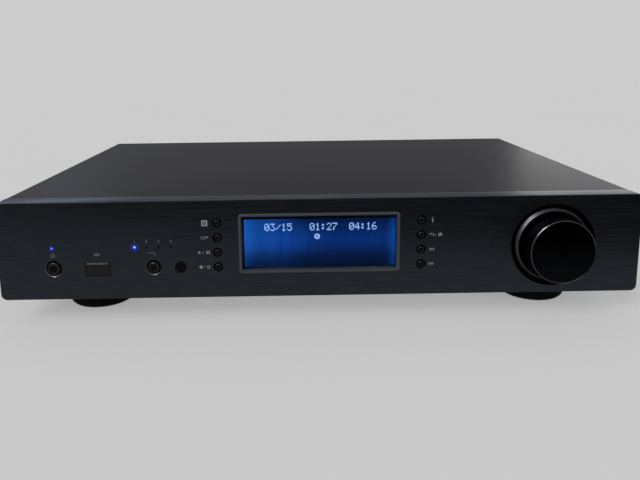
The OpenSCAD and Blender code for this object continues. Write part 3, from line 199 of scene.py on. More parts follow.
soft_top = lamp("soft_top", "SUN", (-0.5, -0.66, 0.56), (0, 0, 0), 2.2)
soft_top.data.angle = SUN_SPREAD
softbox("window_right", (0.62, 0.57, 0.21), (0.17, -0.02, 0.085), 0.93, (0.44, 0.2))
softbox("window_left", (-0.563, 0.775, 0.644), (0, 0, 0.08), 1.2, (0.16, 0.16), DAYLIGHT)
softbox("ceiling_lamp", (-0.85, -0.925, 1.65), (0.03, -0.14, 0.05), 10.0, (0.4, 0.4))

# %% [markdown]
# ## Dark card
#
# The upper half of the panel mirrors a dark room. The room could be built, but a dark card on the floor
# before the object, outside the picture, gives the same reflection. Only glossy rays see it, so it takes
# no light away.

# %% Lay the dark card
CARD_SIZE = 3
CARD_EDGE = FACE_Y - 220 * MM
CARD_SPIN = math.radians(12)
dark_card = stage_plane("dark_card", CARD_SIZE, (0, CARD_EDGE - CARD_SIZE / 2, MM), CARD_SPIN)
for ray in ("camera", "diffuse", "shadow", "transmission"):
    setattr(dark_card, "visible_" + ray, False)
print("card", dark_card.name, "edge at y", round(CARD_EDGE / MM, 1))

# %% [markdown]
# ## Effects that several finishes share
#
# Brushing, moulding grain, lathe rings, dust and the spill of a small light are each used on more than
# one finish. Each is a node group: it puts out masks and values, and every material mixes its own colours
# with them. A painted image could hold the same detail, but a formula stays sharp at any distance.

# %% Helpers for node trees


def add(tree, kind, **settings):
    """A new node, with some of its settings."""
    made = tree.nodes.new(kind)
    for key, value in settings.items():
        setattr(made, key, value)
    return made


def feed(socket, value):
    """Links a node's output to a socket, or sets a number or a colour on it."""
    if isinstance(value, bpy.types.NodeSocket):
        value.id_data.links.new(value, socket)
    elif isinstance(value, tuple):
        socket.default_value = (*value, 1)
    else:
        socket.default_value = value


def maths(operation, *values):
    """The result of a Math node. At least one of the values comes from another node."""
    tree = next(v.id_data for v in values if isinstance(v, bpy.types.NodeSocket))
    made = add(tree, "ShaderNodeMath", operation=operation)
    for socket, value in zip(made.inputs, values):
        feed(socket, value)
    return made.outputs[0]


def split(vector):
    """The X, Y and Z of a vector."""
    apart = add(vector.id_data, "ShaderNodeSeparateXYZ")
    feed(apart.inputs[0], vector)
    return apart.outputs


print("node helpers ready")

# %% Helper for a shared effect


def new_effect(name, inputs, outputs):
    """An empty node group. Gives its tree, what goes in, what comes out and the place on the object."""
    tree = bpy.data.node_groups.new(name, "ShaderNodeTree")
    for label, value in inputs.items():
        socket = tree.interface.new_socket(label, in_out="INPUT", socket_type="NodeSocketFloat")
        socket.default_value = value
    for label in outputs:
        tree.interface.new_socket(label, in_out="OUTPUT", socket_type="NodeSocketFloat")
    start = add(tree, "NodeGroupInput").outputs
    end = add(tree, "NodeGroupOutput").inputs
    return tree, start, end, add(tree, "ShaderNodeTexCoord").outputs["Object"]


print("effect helper ready")

# %% [markdown]
# ### Brushing, grain and dust
#
# Brushed metal is a noise stretched along the stroke. Moulded or powder-coated surfaces have an even fine
# grain with broad cloudy patches of shine. Dust is a sparse scatter of specks, cut from the cells of a
# Voronoi pattern.

# %% Make the surface effects
FINE, SOFT = 3, 2


def scaled(place, along, across):
    """A place with X scaled by one value and Y and Z by another."""
    joined = add(place.id_data, "ShaderNodeCombineXYZ")
    for socket, value, factor in zip(joined.inputs, split(place), (along, across, across)):
        feed(socket, maths("MULTIPLY", value, factor))
    return joined.outputs[0]


def noise(place, scale, detail):
    """A cloudy pattern, more broken up the more detail it has."""
    made = add(place.id_data, "ShaderNodeTexNoise")
    for label, value in (("Vector", place), ("Scale", scale), ("Detail", detail)):
        feed(made.inputs[label], value)
    return made.outputs["Fac"]


def below(value, limit):
    return maths("LESS_THAN", value, limit)


brushing, start, end, place = new_effect("brushing", {"Along": 30, "Across": 1500}, ["Lines", "Bands"])
stroke = scaled(place, start["Along"], start["Across"])
feed(end["Lines"], noise(stroke, 1, FINE))
feed(end["Bands"], noise(stroke, 0.3, SOFT))

grain, start, end, place = new_effect("grain", {"Scale": 2500, "Patches": 25}, ["Grain", "Clouds"])
feed(end["Grain"], noise(place, start["Scale"], FINE))
feed(end["Clouds"], noise(place, start["Patches"], FINE))

dust, start, end, place = new_effect("dust", {"Scale": 160, "Size": 0.06}, ["Specks"])
cells = add(dust, "ShaderNodeTexVoronoi")
feed(cells.inputs["Vector"], place)
feed(cells.inputs["Scale"], start["Scale"])
feed(end["Specks"], below(cells.outputs["Distance"], start["Size"]))
print("groups", [g.name for g in bpy.data.node_groups])

# %% [markdown]
# ### Lathe rings and light spill
#
# A turned face carries fine rings about its axis. A lit pipe throws a soft round spill on the panel round
# it. Both depend only on the distance from a line, so one helper serves both groups.

# %% Make the round effects


def radius_about(place, x, z):
    """Distance from a line along Y through x and z."""
    place_x, _, place_z = split(place)
    dx = maths("SUBTRACT", place_x, x)
    dz = maths("SUBTRACT", place_z, z)
    return maths("SQRT", maths("ADD", maths("MULTIPLY", dx, dx), maths("MULTIPLY", dz, dz)))


rings, start, end, place = new_effect("lathe rings", {"X": 0, "Z": 0, "Pitch": 2500}, ["Rings"])
radius = radius_about(place, start["X"], start["Z"])
groove = add(rings, "ShaderNodeTexNoise", noise_dimensions="1D")
feed(groove.inputs["Scale"], 1)
feed(groove.inputs["W"], maths("MULTIPLY", radius, start["Pitch"]))
feed(end["Rings"], groove.outputs["Fac"])

spill, start, end, place = new_effect("light spill", {"X": 0, "Z": 0, "Reach": 3 * MM}, ["Spill"])
share = maths("DIVIDE", radius_about(place, start["X"], start["Z"]), start["Reach"])
feed(end["Spill"], maths("EXPONENT", maths("MULTIPLY", maths("MULTIPLY", share, share), -1)))
print("groups", [g.name for g in bpy.data.node_groups])

# %% [markdown]
# ## Building a finish
#
# A finish starts from one shader with its plain values set on its own sockets. Small helpers then tie a
# mask to the colour, the roughness or the relief, so that each later cell reads like a recipe.

# %% Helpers that start a finish
finishes = {}


def finish(name, colour, rough, metal=0.0, specular=0.5, anisotropy=0.0):
    """A new material. Gives its node tree and the sockets of its shader."""
    made = bpy.data.materials.new(name)
    made.use_nodes = True
    sockets = made.node_tree.nodes["Principled BSDF"].inputs
    feed(sockets["Base Color"], colour)
    feed(sockets["Roughness"], rough)
    feed(sockets["Metallic"], metal)
    feed(sockets["Specular IOR Level"], specular)
    feed(sockets["Anisotropic"], anisotropy)
    finishes[name] = made
    print("finish", name)
    return made.node_tree, sockets


def effect(tree, group, **values):
    """A shared effect with its own values. Gives its outputs."""
    made = add(tree, "ShaderNodeGroup", node_tree=group)
    for label, value in values.items():
        feed(made.inputs[label], value)
    return made.outputs


print("slots to finish", len(record["materials"]))

# %% Helpers that tie masks to a finish
MIX_FIRST, MIX_SECOND, MIX_RESULT = 6, 7, 2


def blend(tree, kind, factor, first, second):
    """Two colours put together by a Mix node."""
    made = add(tree, "ShaderNodeMix", data_type="RGBA", blend_type=kind)
    feed(made.inputs["Factor"], factor)
    feed(made.inputs[MIX_FIRST], first)
    feed(made.inputs[MIX_SECOND], second)
    return made.outputs[MIX_RESULT]


def tint(mask, dark, light):
    """A colour between two, by a mask."""
    return blend(mask.id_data, "MIX", mask, dark, light)


def ranged(mask, low, high, start=0.3, end=0.7):
    """A mask stretched from start to end on to another range."""
    made = add(mask.id_data, "ShaderNodeMapRange")
    ends = {"Value": mask, "From Min": start, "From Max": end, "To Min": low, "To Max": high}
    for label, value in ends.items():
        feed(made.inputs[label], value)
    return made.outputs[0]


def relief(sockets, height, strength, depth):
    """Fine unevenness of a surface, from a mask."""
    bump = add(height.id_data, "ShaderNodeBump")
    for label, value in (("Height", height), ("Strength", strength), ("Distance", depth)):
        feed(bump.inputs[label], value)
    feed(sockets["Normal"], bump.outputs[0])


print("mask helpers ready")

# %% [markdown]
# ## Front panel: black anodised, brushed from end to end
#
# The panel is extruded aluminium, brushed along its length and dyed black. The dye leaves a dark metal,
# not a paint, so it is made as metal of a low colour. The brushing changes its shine and shade in long
# fine lines. The walls of the holes and the knob's recess get a painted shade: their colour is made nearly
# black, as deep shade would look. The bevels round the two round buttons are cut last and stay bright. Both
# are found by depth behind the face. The two lit pipes spill blue on the metal round them, which is added
# as a weak glow.

# %% Helpers for the panel
BLACK = (0.0, 0.0, 0.0)
BUTTON_REACH = 8 * MM


def object_place(tree):
    """X, Y and Z on the object."""
    return split(add(tree, "ShaderNodeTexCoord").outputs["Object"])


def panel_place(tree):
    """X, the depth behind the panel face, and Z."""
    x, y, z = object_place(tree)
    return x, maths("SUBTRACT", y, FACE_Y), z


def above(value, limit):
    return maths("GREATER_THAN", value, limit)


def both(first, second):
    """Where two masks meet."""
    return maths("MULTIPLY", first, second)


def between(value, low, high):
    return both(above(value, low), below(value, high))


def near_button(value, centre):
    """Where a place is within reach of a round button's middle, along one axis."""
    return between(value, centre - BUTTON_REACH, centre + BUTTON_REACH)


def spill_of(tree, x, reach):
    """The spill of the lit pipe at x."""
    return effect(tree, spill, X=x, Z=LIGHT_Z, Reach=reach)["Spill"]


def light_up(sockets, colour, strength=1.0):
    """Makes a surface give off light of its own."""
    feed(sockets["Emission Color"], colour)
    feed(sockets["Emission Strength"], strength)


print("panel helpers ready")

# %% Finish the front panel
EDGE = 3 * MM
FACE_SKIN = 0.02 * MM
BEVEL_DEPTH = 0.45 * MM
tree, sockets = finish("panel_black", (0.02, 0.023, 0.028), 0.42, metal=1.0, anisotropy=0.4)
feed(sockets["Specular Tint"], (0.6, 0.6, 0.63))
lines = effect(tree, brushing, Along=70, Across=2600)
shade = tint(ranged(lines["Lines"], 0, 1), (0.0235, 0.0278, 0.034), (0.0355, 0.0412, 0.0485))
x, depth, z = panel_place(tree)
within_ends = between(x, panel_low.x + EDGE, panel_high.x - EDGE)
inner = both(within_ends, between(z, panel_low.z + EDGE, panel_high.z - EDGE))
# Painted shade: the walls of the holes and the knob's recess are coloured nearly black.
shaded_holes = tint(both(inner, above(depth, FACE_SKIN)), shade, (0.002, 0.002, 0.0025))
button_columns = maths("ADD", near_button(x, standby.x), near_button(x, filter_key.x))
round_hole = both(button_columns, near_button(z, filter_key.z))
bright_bevel = both(round_hole, between(depth, FACE_SKIN, BEVEL_DEPTH))
feed(sockets["Base Color"], tint(bright_bevel, shaded_holes, (0.15, 0.15, 0.155)))
feed(sockets["Roughness"], ranged(lines["Bands"], 0.3, 0.4))
relief(sockets, lines["Lines"], 0.06, 0.01 * MM)
glow = maths("ADD", spill_of(tree, standby_light, 1.4 * MM), spill_of(tree, filter_light, 2.2 * MM))
light_up(sockets, tint(glow, BLACK, (0.002, 0.014, 0.3)))

# %% [markdown]
# ## Cover and sheet metal: satin powder coat
#
# The cover is powder coated: a dark, slightly grained film with a soft sheen and a little dust. A plain
# grey would look like plastic, so the grain carries the sheen and dust specks lift the colour here and
# there.

# %% Finish the painted sheets
SPECK_LIFT = 0.03


def shades(colour, low, high):
    """A darker and a lighter shade of a colour, by two factors."""
    return [tuple(min(1.0, factor * c) for c in colour) for factor in (low, high)]


def powder_coat(name, colour, rough, specular, speck_size):
    """A grained coat of paint with a few specks of dust."""
    tree, sockets = finish(name, colour, rough, specular=specular)
    feed(sockets["Specular Tint"], (0.86, 0.87, 1.0))
    coat = effect(tree, grain, Scale=2600, Patches=14)
    shade = tint(ranged(coat["Clouds"], 0, 1), *shades(colour, 0.93, 1.07))
    specks = effect(tree, dust, Scale=60, Size=speck_size)["Specks"]
    feed(sockets["Base Color"], tint(specks, shade, tuple(c + SPECK_LIFT for c in colour)))
    feed(sockets["Roughness"], ranged(coat["Grain"], rough - 0.06, rough + 0.06))
    relief(sockets, coat["Grain"], 0.12, 0.04 * MM)


powder_coat("cover_black", (0.0118, 0.012, 0.0148), 0.4, specular=0.014, speck_size=0.03)
powder_coat("black_sheet", (0.018, 0.018, 0.02), 0.5, specular=0.2, speck_size=0.01)

# %% [markdown]
# ## Display: bezel and window
#
# The bezel is a satin grey moulding with faint clouds in its colour. The window is clear acrylic. With
# acrylic's own index it would mirror the room, but the picture shows hardly any reflection there, so a
# low index is used, and the blue behind stays deep.

# %% Finish the bezel and the window
tree, sockets = finish("bezel_grey", (0.036, 0.042, 0.048), 0.34, specular=0.3)
coat = effect(tree, grain, Scale=3000, Patches=30)
feed(sockets["Base Color"], tint(coat["Clouds"], (0.027, 0.031, 0.036), (0.037, 0.042, 0.048)))
feed(sockets["Roughness"], ranged(coat["Grain"], 0.3, 0.38))

tree, sockets = finish("clear_window", (0.93, 0.95, 0.98), 0.04)
feed(sockets["Transmission Weight"], 1.0)
feed(sockets["IOR"], 1.05)
wiped = effect(tree, grain, Scale=900, Patches=35)
feed(sockets["Roughness"], ranged(wiped["Clouds"], 0.02, 0.06))

# %% [markdown]
# ## Display: backlit panel
#
# The display lights itself: its blue is strongest at the left, where the lamps of the backlight sit, and
# falls away to the right and to the lower edge, with faint upright streaks from the light guide. A
# picture could hold that, but a ramp across and two ramps upward, multiplied, say it in a few stops.

# %% Finish the backlit panel
LIT_LEFT, LIT_RIGHT = -50.8 * MM, 51.6 * MM
LIT_LOW, LIT_HIGH = PANEL_FOOT + 18.6 * MM, PANEL_FOOT + 52.5 * MM
BLUE_ACROSS = (
    (0.0, BLACK), (0.004, (0.008, 0.085, 0.38)), (0.1, (0.004, 0.066, 0.33)), (0.25, (0.003, 0.052, 0.3)),
    (0.45, (0.0012, 0.028, 0.18)), (0.6, (0.0008, 0.022, 0.15)), (0.95, (0.0008, 0.023, 0.15)),
    (0.975, (0.001, 0.032, 0.19)), (0.996, (0.002, 0.05, 0.25)), (1.0, BLACK),
)
FADE_LEFT = (
    (0.0, 0.14), (0.12, 0.22), (0.25, 0.4), (0.42, 0.85),
    (0.6, 1.0), (0.85, 0.92), (0.985, 0.8), (1.0, 0.0),
)
FADE_RIGHT = (
    (0.0, 0.12), (0.1, 0.18), (0.22, 0.26), (0.42, 0.72),
    (0.58, 1.0), (0.8, 0.62), (0.985, 0.25), (1.0, 0.0),
)


def ramp(value, stops):
    """A colour or a grey that changes with a value, stop by stop."""
    made = add(value.id_data, "ShaderNodeValToRGB")
    while len(made.color_ramp.elements) < len(stops):
        made.color_ramp.elements.new(0.5)
    for element, (where, colour) in zip(made.color_ramp.elements, stops):
        element.position = where
        element.color = (*colour, 1) if isinstance(colour, tuple) else (colour, colour, colour, 1)
    feed(made.inputs[0], value)
    return made.outputs[0]


tree, sockets = finish("display_blue", (0.001, 0.002, 0.006), 0.4, specular=0.03)
x, _, z = object_place(tree)
across = ranged(x, 0, 1, LIT_LEFT, LIT_RIGHT)
upward = ranged(z, 0, 1, LIT_LOW, LIT_HIGH)
fade = tint(ranged(across, 0, 1, 0.1, 0.4), ramp(upward, FADE_LEFT), ramp(upward, FADE_RIGHT))
lit = blend(tree, "MULTIPLY", 1, ramp(across, BLUE_ACROSS), fade)
guide = ranged(effect(tree, brushing, Along=420, Across=12)["Lines"], 0.86, 1.14)
streaked = blend(tree, "MULTIPLY", 1, lit, guide)
ends = maths("ADD", ranged(across, 0, 1, 0.94, 0.98), ranged(across, 1, 0, 0.004, 0.05))
rim = both(ends, both(between(upward, 0.015, 0.985), between(across, 0.002, 0.998)))
light_up(sockets, blend(tree, "ADD", 1, streaked, tint(rim, BLACK, (0.0008, 0.017, 0.085))))

# %% [markdown]
# ## Knob and ring: turned aluminium
#
# The knob is turned, polished and dyed deep black; its face keeps fine lathe rings, and the narrow
# chamfer round the face is cut last and stays brighter. The ring at its foot is bare metal with a satin
# shine. The lathe rings are too fine to model, so they are a mask of the distance from the knob's axis,
# and the chamfer is the band of depths where the bevel lies.

# %% Finish the knob and its ring
CHAMFER_FRONT, CHAMFER_BACK = 0.03 * MM, 0.52 * MM
SIDE_POLISH = -0.08
knob_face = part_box("control_knob")[0].y


def lathe_rings(tree, sockets, pitch):
    """Fine rings about the knob's axis, with a shine that runs round it."""
    around = add(tree, "ShaderNodeTangent", direction_type="RADIAL", axis="Y")
    feed(sockets["Tangent"], around.outputs[0])
    return effect(tree, rings, X=knob_axis.x, Z=knob_axis.z, Pitch=pitch)["Rings"]


tree, sockets = finish("knob_black", (0.01, 0.011, 0.013), 0.24, metal=1.0, anisotropy=0.6)
grooves = lathe_rings(tree, sockets, 2600)
_, y, _ = object_place(tree)
behind = maths("SUBTRACT", y, knob_face)
dyed = tint(ranged(grooves, 0, 1), (0.0036, 0.0042, 0.005), (0.0062, 0.0068, 0.008))
feed(sockets["Base Color"], tint(between(behind, CHAMFER_FRONT, CHAMFER_BACK), dyed, (0.06, 0.06, 0.064)))
polish = maths("MULTIPLY", above(behind, CHAMFER_BACK), SIDE_POLISH)
feed(sockets["Roughness"], maths("ADD", ranged(grooves, 0.16, 0.24), polish))
relief(sockets, grooves, 0.05, 0.02 * MM)

tree, sockets = finish("ring_silver", (0.5, 0.51, 0.53), 0.3, metal=1.0, anisotropy=0.5)
grooves = lathe_rings(tree, sockets, 9000)
feed(sockets["Base Color"], tint(ranged(grooves, 0, 1), (0.031, 0.031, 0.034), (0.05, 0.05, 0.054)))
feed(sockets["Roughness"], ranged(grooves, 0.24, 0.36))

# %% [markdown]
# ## Lit pipes
#
# A lit pipe is clear plastic with a lamp behind it: its middle is nearly white-blue and its rim a deeper
# blue. A lamp in each pipe would do, but a glow that falls off from the middle shows the same. The
# standby light is the dimmer.

# %% Finish the lit pipes
DIM_SHARE = 0.22
tree, sockets = finish("light_blue", (0.05, 0.12, 0.5), 0.25)
dim_core = maths("MULTIPLY", spill_of(tree, standby_light, 0.6 * MM), DIM_SHARE)
hot = maths("ADD", dim_core, spill_of(tree, filter_light, 0.9 * MM))
light_up(sockets, tint(hot, (0.004, 0.022, 0.5), (0.38, 0.56, 1.0)))

# %% [markdown]
# ## Moulded and rubber parts
#
# An unlit pipe is frosted and dark, and the remote window is a deep red plastic that looks black. The
# dust cover, the feet, the sockets' bodies and the inner plastic parts differ from them in colour and
# shine, but all have the fine spark-eroded grain of a moulding tool, so one recipe with different values
# makes them all.

# %% Finish the mouldings


def moulding(name, colour, rough, specular=0.5, grain_scale=2500, depth=0.03 * MM):
    """Moulded plastic or rubber with an even grain."""
    tree, sockets = finish(name, colour, rough, specular=specular)
    coat = effect(tree, grain, Scale=grain_scale, Patches=40)
    feed(sockets["Base Color"], tint(ranged(coat["Clouds"], 0, 1), *shades(colour, 0.8, 1.2)))
    feed(sockets["Roughness"], ranged(coat["Grain"], rough - 0.05, rough + 0.05))
    relief(sockets, coat["Grain"], 0.15, depth)


moulding("light_clear", (0.003, 0.003, 0.004), 0.4, specular=0.1)
moulding("remote_dark", (0.002, 0.001, 0.002), 0.14, specular=0.06, grain_scale=900, depth=0.005 * MM)
moulding("dust_black", (0.0034, 0.003, 0.0036), 0.36, specular=0.2, grain_scale=9000, depth=0.003 * MM)
moulding("foot_black", (0.004, 0.004, 0.0044), 0.6, specular=0.03)
moulding("pad_rubber", (0.02, 0.02, 0.021), 0.85, specular=0.2, grain_scale=1800)
moulding("part_black", (0.022, 0.022, 0.024), 0.5)
moulding("part_pale", (0.62, 0.6, 0.53), 0.45)
moulding("mains_black", (0.014, 0.014, 0.016), 0.36, specular=0.4)
moulding("ribbon_grey", (0.4, 0.41, 0.43), 0.55)

# %% [markdown]
# ## Metal parts
#
# Screws are blackened, capacitor cans dark, brackets zinc plated, sockets nickel or gold plated. All show
# fine brushing in their shine, so one recipe with different values makes them all.

# %% Finish the metals


def plated(name, colour, rough):
    """Metal with fine brushing in its shine."""
    tree, sockets = finish(name, colour, rough, metal=1.0)
    lines = effect(tree, brushing, Along=60, Across=2500)
    feed(sockets["Base Color"], tint(ranged(lines["Bands"], 0, 1), *shades(colour, 0.82, 1.12)))
    feed(sockets["Roughness"], ranged(lines["Lines"], rough - 0.08, rough + 0.08))


plated("screw_black", (0.03, 0.03, 0.033), 0.4)
plated("can_metal", (0.05, 0.055, 0.08), 0.45)
plated("zinc_steel", (0.5, 0.51, 0.52), 0.42)
plated("bright_metal", (0.62, 0.63, 0.65), 0.28)
plated("gold_metal", (0.83, 0.6, 0.22), 0.24)

# %% [markdown]
# ## Button caps: a dish with painted shade, a chamfer with a painted highlight
#
# The caps are turned, dished and dyed. The dish gets a painted shade, darkest in its middle and paler
# towards its rim, and the chamfer round the dish gets a painted highlight, a paler colour all round. Depth
# tells the middle of the dish from its rim. The chamfer slopes and the dish is nearly flat, so the surface's
# own direction tells those two apart, and only what stands proud of the panel gets the highlight.

# %% Finish the button caps
DISH_RIM, DISH_FOOT = -0.5 * MM, -0.27 * MM
PROUD = -0.05 * MM
CHAMFER_FACING = (-0.93, -0.3)
tree, sockets = finish("button_black", (0.018, 0.018, 0.0195), 0.36, metal=1.0)
lines = effect(tree, brushing, Along=60, Across=2500)
_, depth, _ = panel_place(tree)
cap_colour = tint(ranged(lines["Bands"], 0, 1), (0.02, 0.02, 0.022), (0.028, 0.028, 0.03))
# Painted shade: the middle of the dish is coloured darker than its rim.
shaded_dish = tint(ranged(depth, 0, 1, DISH_RIM, DISH_FOOT), cap_colour, (0.003, 0.003, 0.0034))
_, facing, _ = split(add(tree, "ShaderNodeTexCoord").outputs["Normal"])
# Painted highlight: the chamfer round the dish is coloured paler.
chamfer_highlight = both(between(facing, *CHAMFER_FACING), below(depth, PROUD))
feed(sockets["Base Color"], tint(chamfer_highlight, shaded_dish, (0.042, 0.042, 0.045)))
feed(sockets["Roughness"], ranged(lines["Lines"], 0.3, 0.42))

# %% [markdown]
# ## Boards and windings
#
# A circuit board is green lacquer over copper tracks: the tracks show as paler, slightly raised lanes,
# which a stepped noise gives without drawing a layout. The transformer is wrapped in tape, whose overlaps
# make slanting bands round it.

# %% Finish the boards and the transformer
TRACK_LEVEL = 0.54
tree, sockets = finish("circuit_board", (0.02, 0.1, 0.045), 0.3)
track = above(effect(tree, brushing, Along=120, Across=500)["Lines"], TRACK_LEVEL)
feed(sockets["Base Color"], tint(track, (0.014, 0.075, 0.032), (0.03, 0.14, 0.06)))
relief(sockets, track, 0.2, 0.04 * MM)

tree, sockets = finish("winding", (0.05, 0.06, 0.15), 0.35)
wraps = add(tree, "ShaderNodeTexWave", wave_type="BANDS", bands_direction="DIAGONAL")
feed(wraps.inputs["Vector"], add(tree, "ShaderNodeTexCoord").outputs["Object"])
feed(wraps.inputs["Scale"], 60)
feed(wraps.inputs["Distortion"], 1.5)
overlap = wraps.outputs["Fac"]
feed(sockets["Base Color"], tint(overlap, (0.04, 0.048, 0.12), (0.07, 0.08, 0.19)))
relief(sockets, overlap, 0.3, 0.2 * MM)

# %% [markdown]
# ## Phono inserts: coloured rings
#
# The insulators in the phono sockets tell the channels apart: white for left, red for right, black for
# the digital ones. One solid holds them all, so the colour is chosen by place: the pair stands apart at
# one X and is split by height.

# %% Finish the phono inserts
PAIR_REACH = 9 * MM
mount_place = {m["name"]: Vector(m["pos_m"]) for m in record["mounts"]}
left_out, right_out = mount_place["left_line_out"], mount_place["right_line_out"]
tree, sockets = finish("phono_colours", (0.03, 0.03, 0.03), 0.35)
x, y, z = object_place(tree)
coded = both(above(x, left_out.x - PAIR_REACH), above(y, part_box("rear_panel")[0].y))
is_left = above(z, (left_out.z + right_out.z) / 2)
pair_colour = tint(is_left, (0.5, 0.02, 0.018), (0.72, 0.71, 0.68))
feed(sockets["Base Color"], tint(coded, (0.02, 0.02, 0.021), pair_colour))
coat = effect(tree, grain, Scale=2500, Patches=40)
feed(sockets["Roughness"], ranged(coat["Grain"], 0.3, 0.42))

# %% [markdown]
# ## Lined sockets
#
# The balanced sockets and the data sockets are plated shells round a black insulator. The shell and its
# lining are one solid, so the lining is found by its depth behind the mouth: there the metal gives way to
# dark plastic.

# %% Finish the lined sockets
CUP_DEPTH = 13.8 * MM
SHELL_LIP = 0.6 * MM


def lined_shell(name, node, lining_depth):
    """Bright metal from the mouth down to a depth, and dark plastic past it."""
    tree, sockets = finish(name, (0.62, 0.63, 0.65), 0.28)
    _, y, _ = object_place(tree)
    shell = above(y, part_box(node)[1].y - lining_depth)
    lines = effect(tree, brushing, Along=60, Across=2500)
    metal = tint(ranged(lines["Bands"], 0, 1), (0.51, 0.52, 0.53), (0.69, 0.7, 0.72))
    feed(sockets["Base Color"], tint(shell, (0.01, 0.01, 0.011), metal))
    feed(sockets["Metallic"], shell)
    feed(sockets["Roughness"], ranged(lines["Lines"], 0.2, 0.36))


lined_shell("balanced_lined", "balanced_sockets", CUP_DEPTH)
lined_shell("data_lined", "data_sockets", SHELL_LIP)

# %% [markdown]
# ## Dressing the solids
#
# The record names a finish for every solid, so one loop dresses them all. The lined sockets and the phono
# inserts have finishes of their own, which the loop takes in place of the record's.

# %% Put the finishes on the solids
OWN_FINISH = {
    "balanced_sockets": "balanced_lined",
    "data_sockets": "data_lined",
    "phono_inserts": "phono_colours",
}
for part in record["subparts"]:
    used = OWN_FINISH.get(part["node"], part["material_slot"])
    nodes[part["node"]].material_slots[0].material = finishes[used]
print("dressed", len(record["subparts"]), "solids with", len(finishes), "finishes")

# %% [markdown]
# ## Floor and card finish
#
# The floor is smooth pale card without shine, so that the lamps leave no glare on it. It has a soft
# mottle so that it doesn't read as an empty backdrop. More light would lift the shadow under the object,
# but would change every finish too, so a share of the floor's own pale colour is mixed in for the rays
# that look at it. The dark card has a soft mottle too.

# %% Finish the floor and the dark card
SHADOW_LIFT = 0.55
tree, sockets = finish("floor_card", (PALE, PALE, PALE), 0.5, specular=0.0)
coat = effect(tree, grain, Scale=6, Patches=3)
feed(sockets["Base Color"], tint(coat["Clouds"], (0.59, 0.59, 0.59), (0.615, 0.615, 0.615)))
feed(sockets["Roughness"], ranged(coat["Grain"], 0.45, 0.55))
path = add(tree, "ShaderNodeLightPath").outputs
mirrored = maths("MAXIMUM", path["Is Glossy Ray"], path["Is Transmission Ray"])
looked_at = maths("MAXIMUM", path["Is Camera Ray"], mirrored)
pale = add(tree, "ShaderNodeEmission")
feed(pale.inputs["Color"], (PALE, PALE, PALE))
lifted = add(tree, "ShaderNodeMixShader")
feed(lifted.inputs[0], maths("MULTIPLY", looked_at, SHADOW_LIFT))
feed(lifted.inputs[1], tree.nodes["Principled BSDF"].outputs[0])
feed(lifted.inputs[2], pale.outputs[0])
feed(tree.nodes["Material Output"].inputs["Surface"], lifted.outputs[0])
floor.data.materials.append(finishes["floor_card"])

tree, sockets = finish("dark_room", (0.02, 0.021, 0.024), 0.9, specular=0.0)
coat = effect(tree, grain, Scale=6, Patches=3)
feed(sockets["Base Color"], tint(coat["Clouds"], (0.016, 0.017, 0.02), (0.024, 0.025, 0.029)))
dark_card.data.materials.append(finishes["dark_room"])

# %% [markdown]
# ## Printed signs
#
# The signs beside the controls are screen printed: a film of ink a few hundredths of a millimetre thick.
# They could be painted by a material, but as thin raised shapes they stay crisp and are real geometry.
# Each sign is a few flat primitives added in edit mode on the panel face, and at the end the whole print
# is extruded to its thickness. Places and sizes on the face are given in millimetres from an origin, as
# on a printer's drawing.

# %% Helpers for flat shapes


def begin_mesh(name):
    """A piece with an empty mesh, in edit mode, to add shapes to."""
    bpy.ops.object.select_all(action="DESELECT")
    bpy.ops.mesh.primitive_plane_add(size=MM)
    made = bpy.context.object
    made.name = name
    made.data.name = name
    bpy.ops.object.mode_set(mode="EDIT")
    bpy.ops.mesh.delete(type="VERT")
    return made


def spot(origin, dx, dz):
    """A place on the printed face."""
    return origin + Vector((dx, 0, dz)) * MM


def stretch(place, width, height):
    """Scales what was just added to a width and a height on the face."""
    bpy.ops.transform.resize(value=(width, 1, height), center_override=place)


def bar_sign(origin, dx, dz, width, height, lean=0.0):
    """A filled rectangle, upright or turned by a lean."""
    place = spot(origin, dx, dz)
    bpy.ops.mesh.primitive_plane_add(size=MM, location=place, rotation=(QUARTER, 0, 0))
    stretch(place, width, height)
    if lean:
        bpy.ops.transform.rotate(value=lean, orient_axis="Y", center_override=place)


def arrow_sign(origin, dx, dz, radius, spin, wide=1.0):
    """A filled triangle, stretched sideways by a factor."""
    place = spot(origin, dx, dz)
    bpy.ops.mesh.primitive_circle_add(
        vertices=3, radius=radius * MM, fill_type="NGON", location=place, rotation=(QUARTER, spin, 0)
    )
    stretch(place, wide, 1)


print("bars and arrows ready")

# %% Helpers for rings


def open_top(gap):
    """Deletes the uppermost points of the circle just added and keeps the rest of it selected."""
    mesh = bpy.context.object.data
    bpy.ops.mesh.hide(unselected=True)
    bpy.ops.object.mode_set(mode="OBJECT")
    highest_first = sorted((v for v in mesh.vertices if v.select), key=lambda v: -v.co.z)
    for group in (mesh.vertices, mesh.edges):
        group.foreach_set("select", [False] * len(group))
    for vertex in highest_first[:gap]:
        vertex.select = True
    bpy.ops.object.mode_set(mode="EDIT")
    bpy.ops.mesh.delete(type="VERT")
    bpy.ops.mesh.select_all(action="SELECT")
    bpy.ops.mesh.reveal(select=False)


def ring_sign(origin, dx, dz, radius, width, wide=1.0, gap=0):
    """A ring, stretched sideways by a factor and without some of its 24 points at the top."""
    place = spot(origin, dx, dz)
    bpy.ops.mesh.primitive_circle_add(
        vertices=24, radius=radius * MM, location=place, rotation=(QUARTER, 0, 0)
    )
    stretch(place, wide, 1)
    if gap:
        open_top(gap)
    bpy.ops.mesh.extrude_edges_move()
    stretch(place, 1 - width / (radius * wide), 1 - width / radius)


print("rings ready")

# %% [markdown]
# ### From flat shapes to a piece
#
# A print ends in three steps: the flat shapes get the thickness of the ink, the piece gets its finish,
# and it is set on the body that carries it. The inks differ in shade only: dim over the lower controls,
# grey beside the keys and pale on the mains rocker.

# %% Helpers for pieces, and the inks
INK = 0.04 * MM


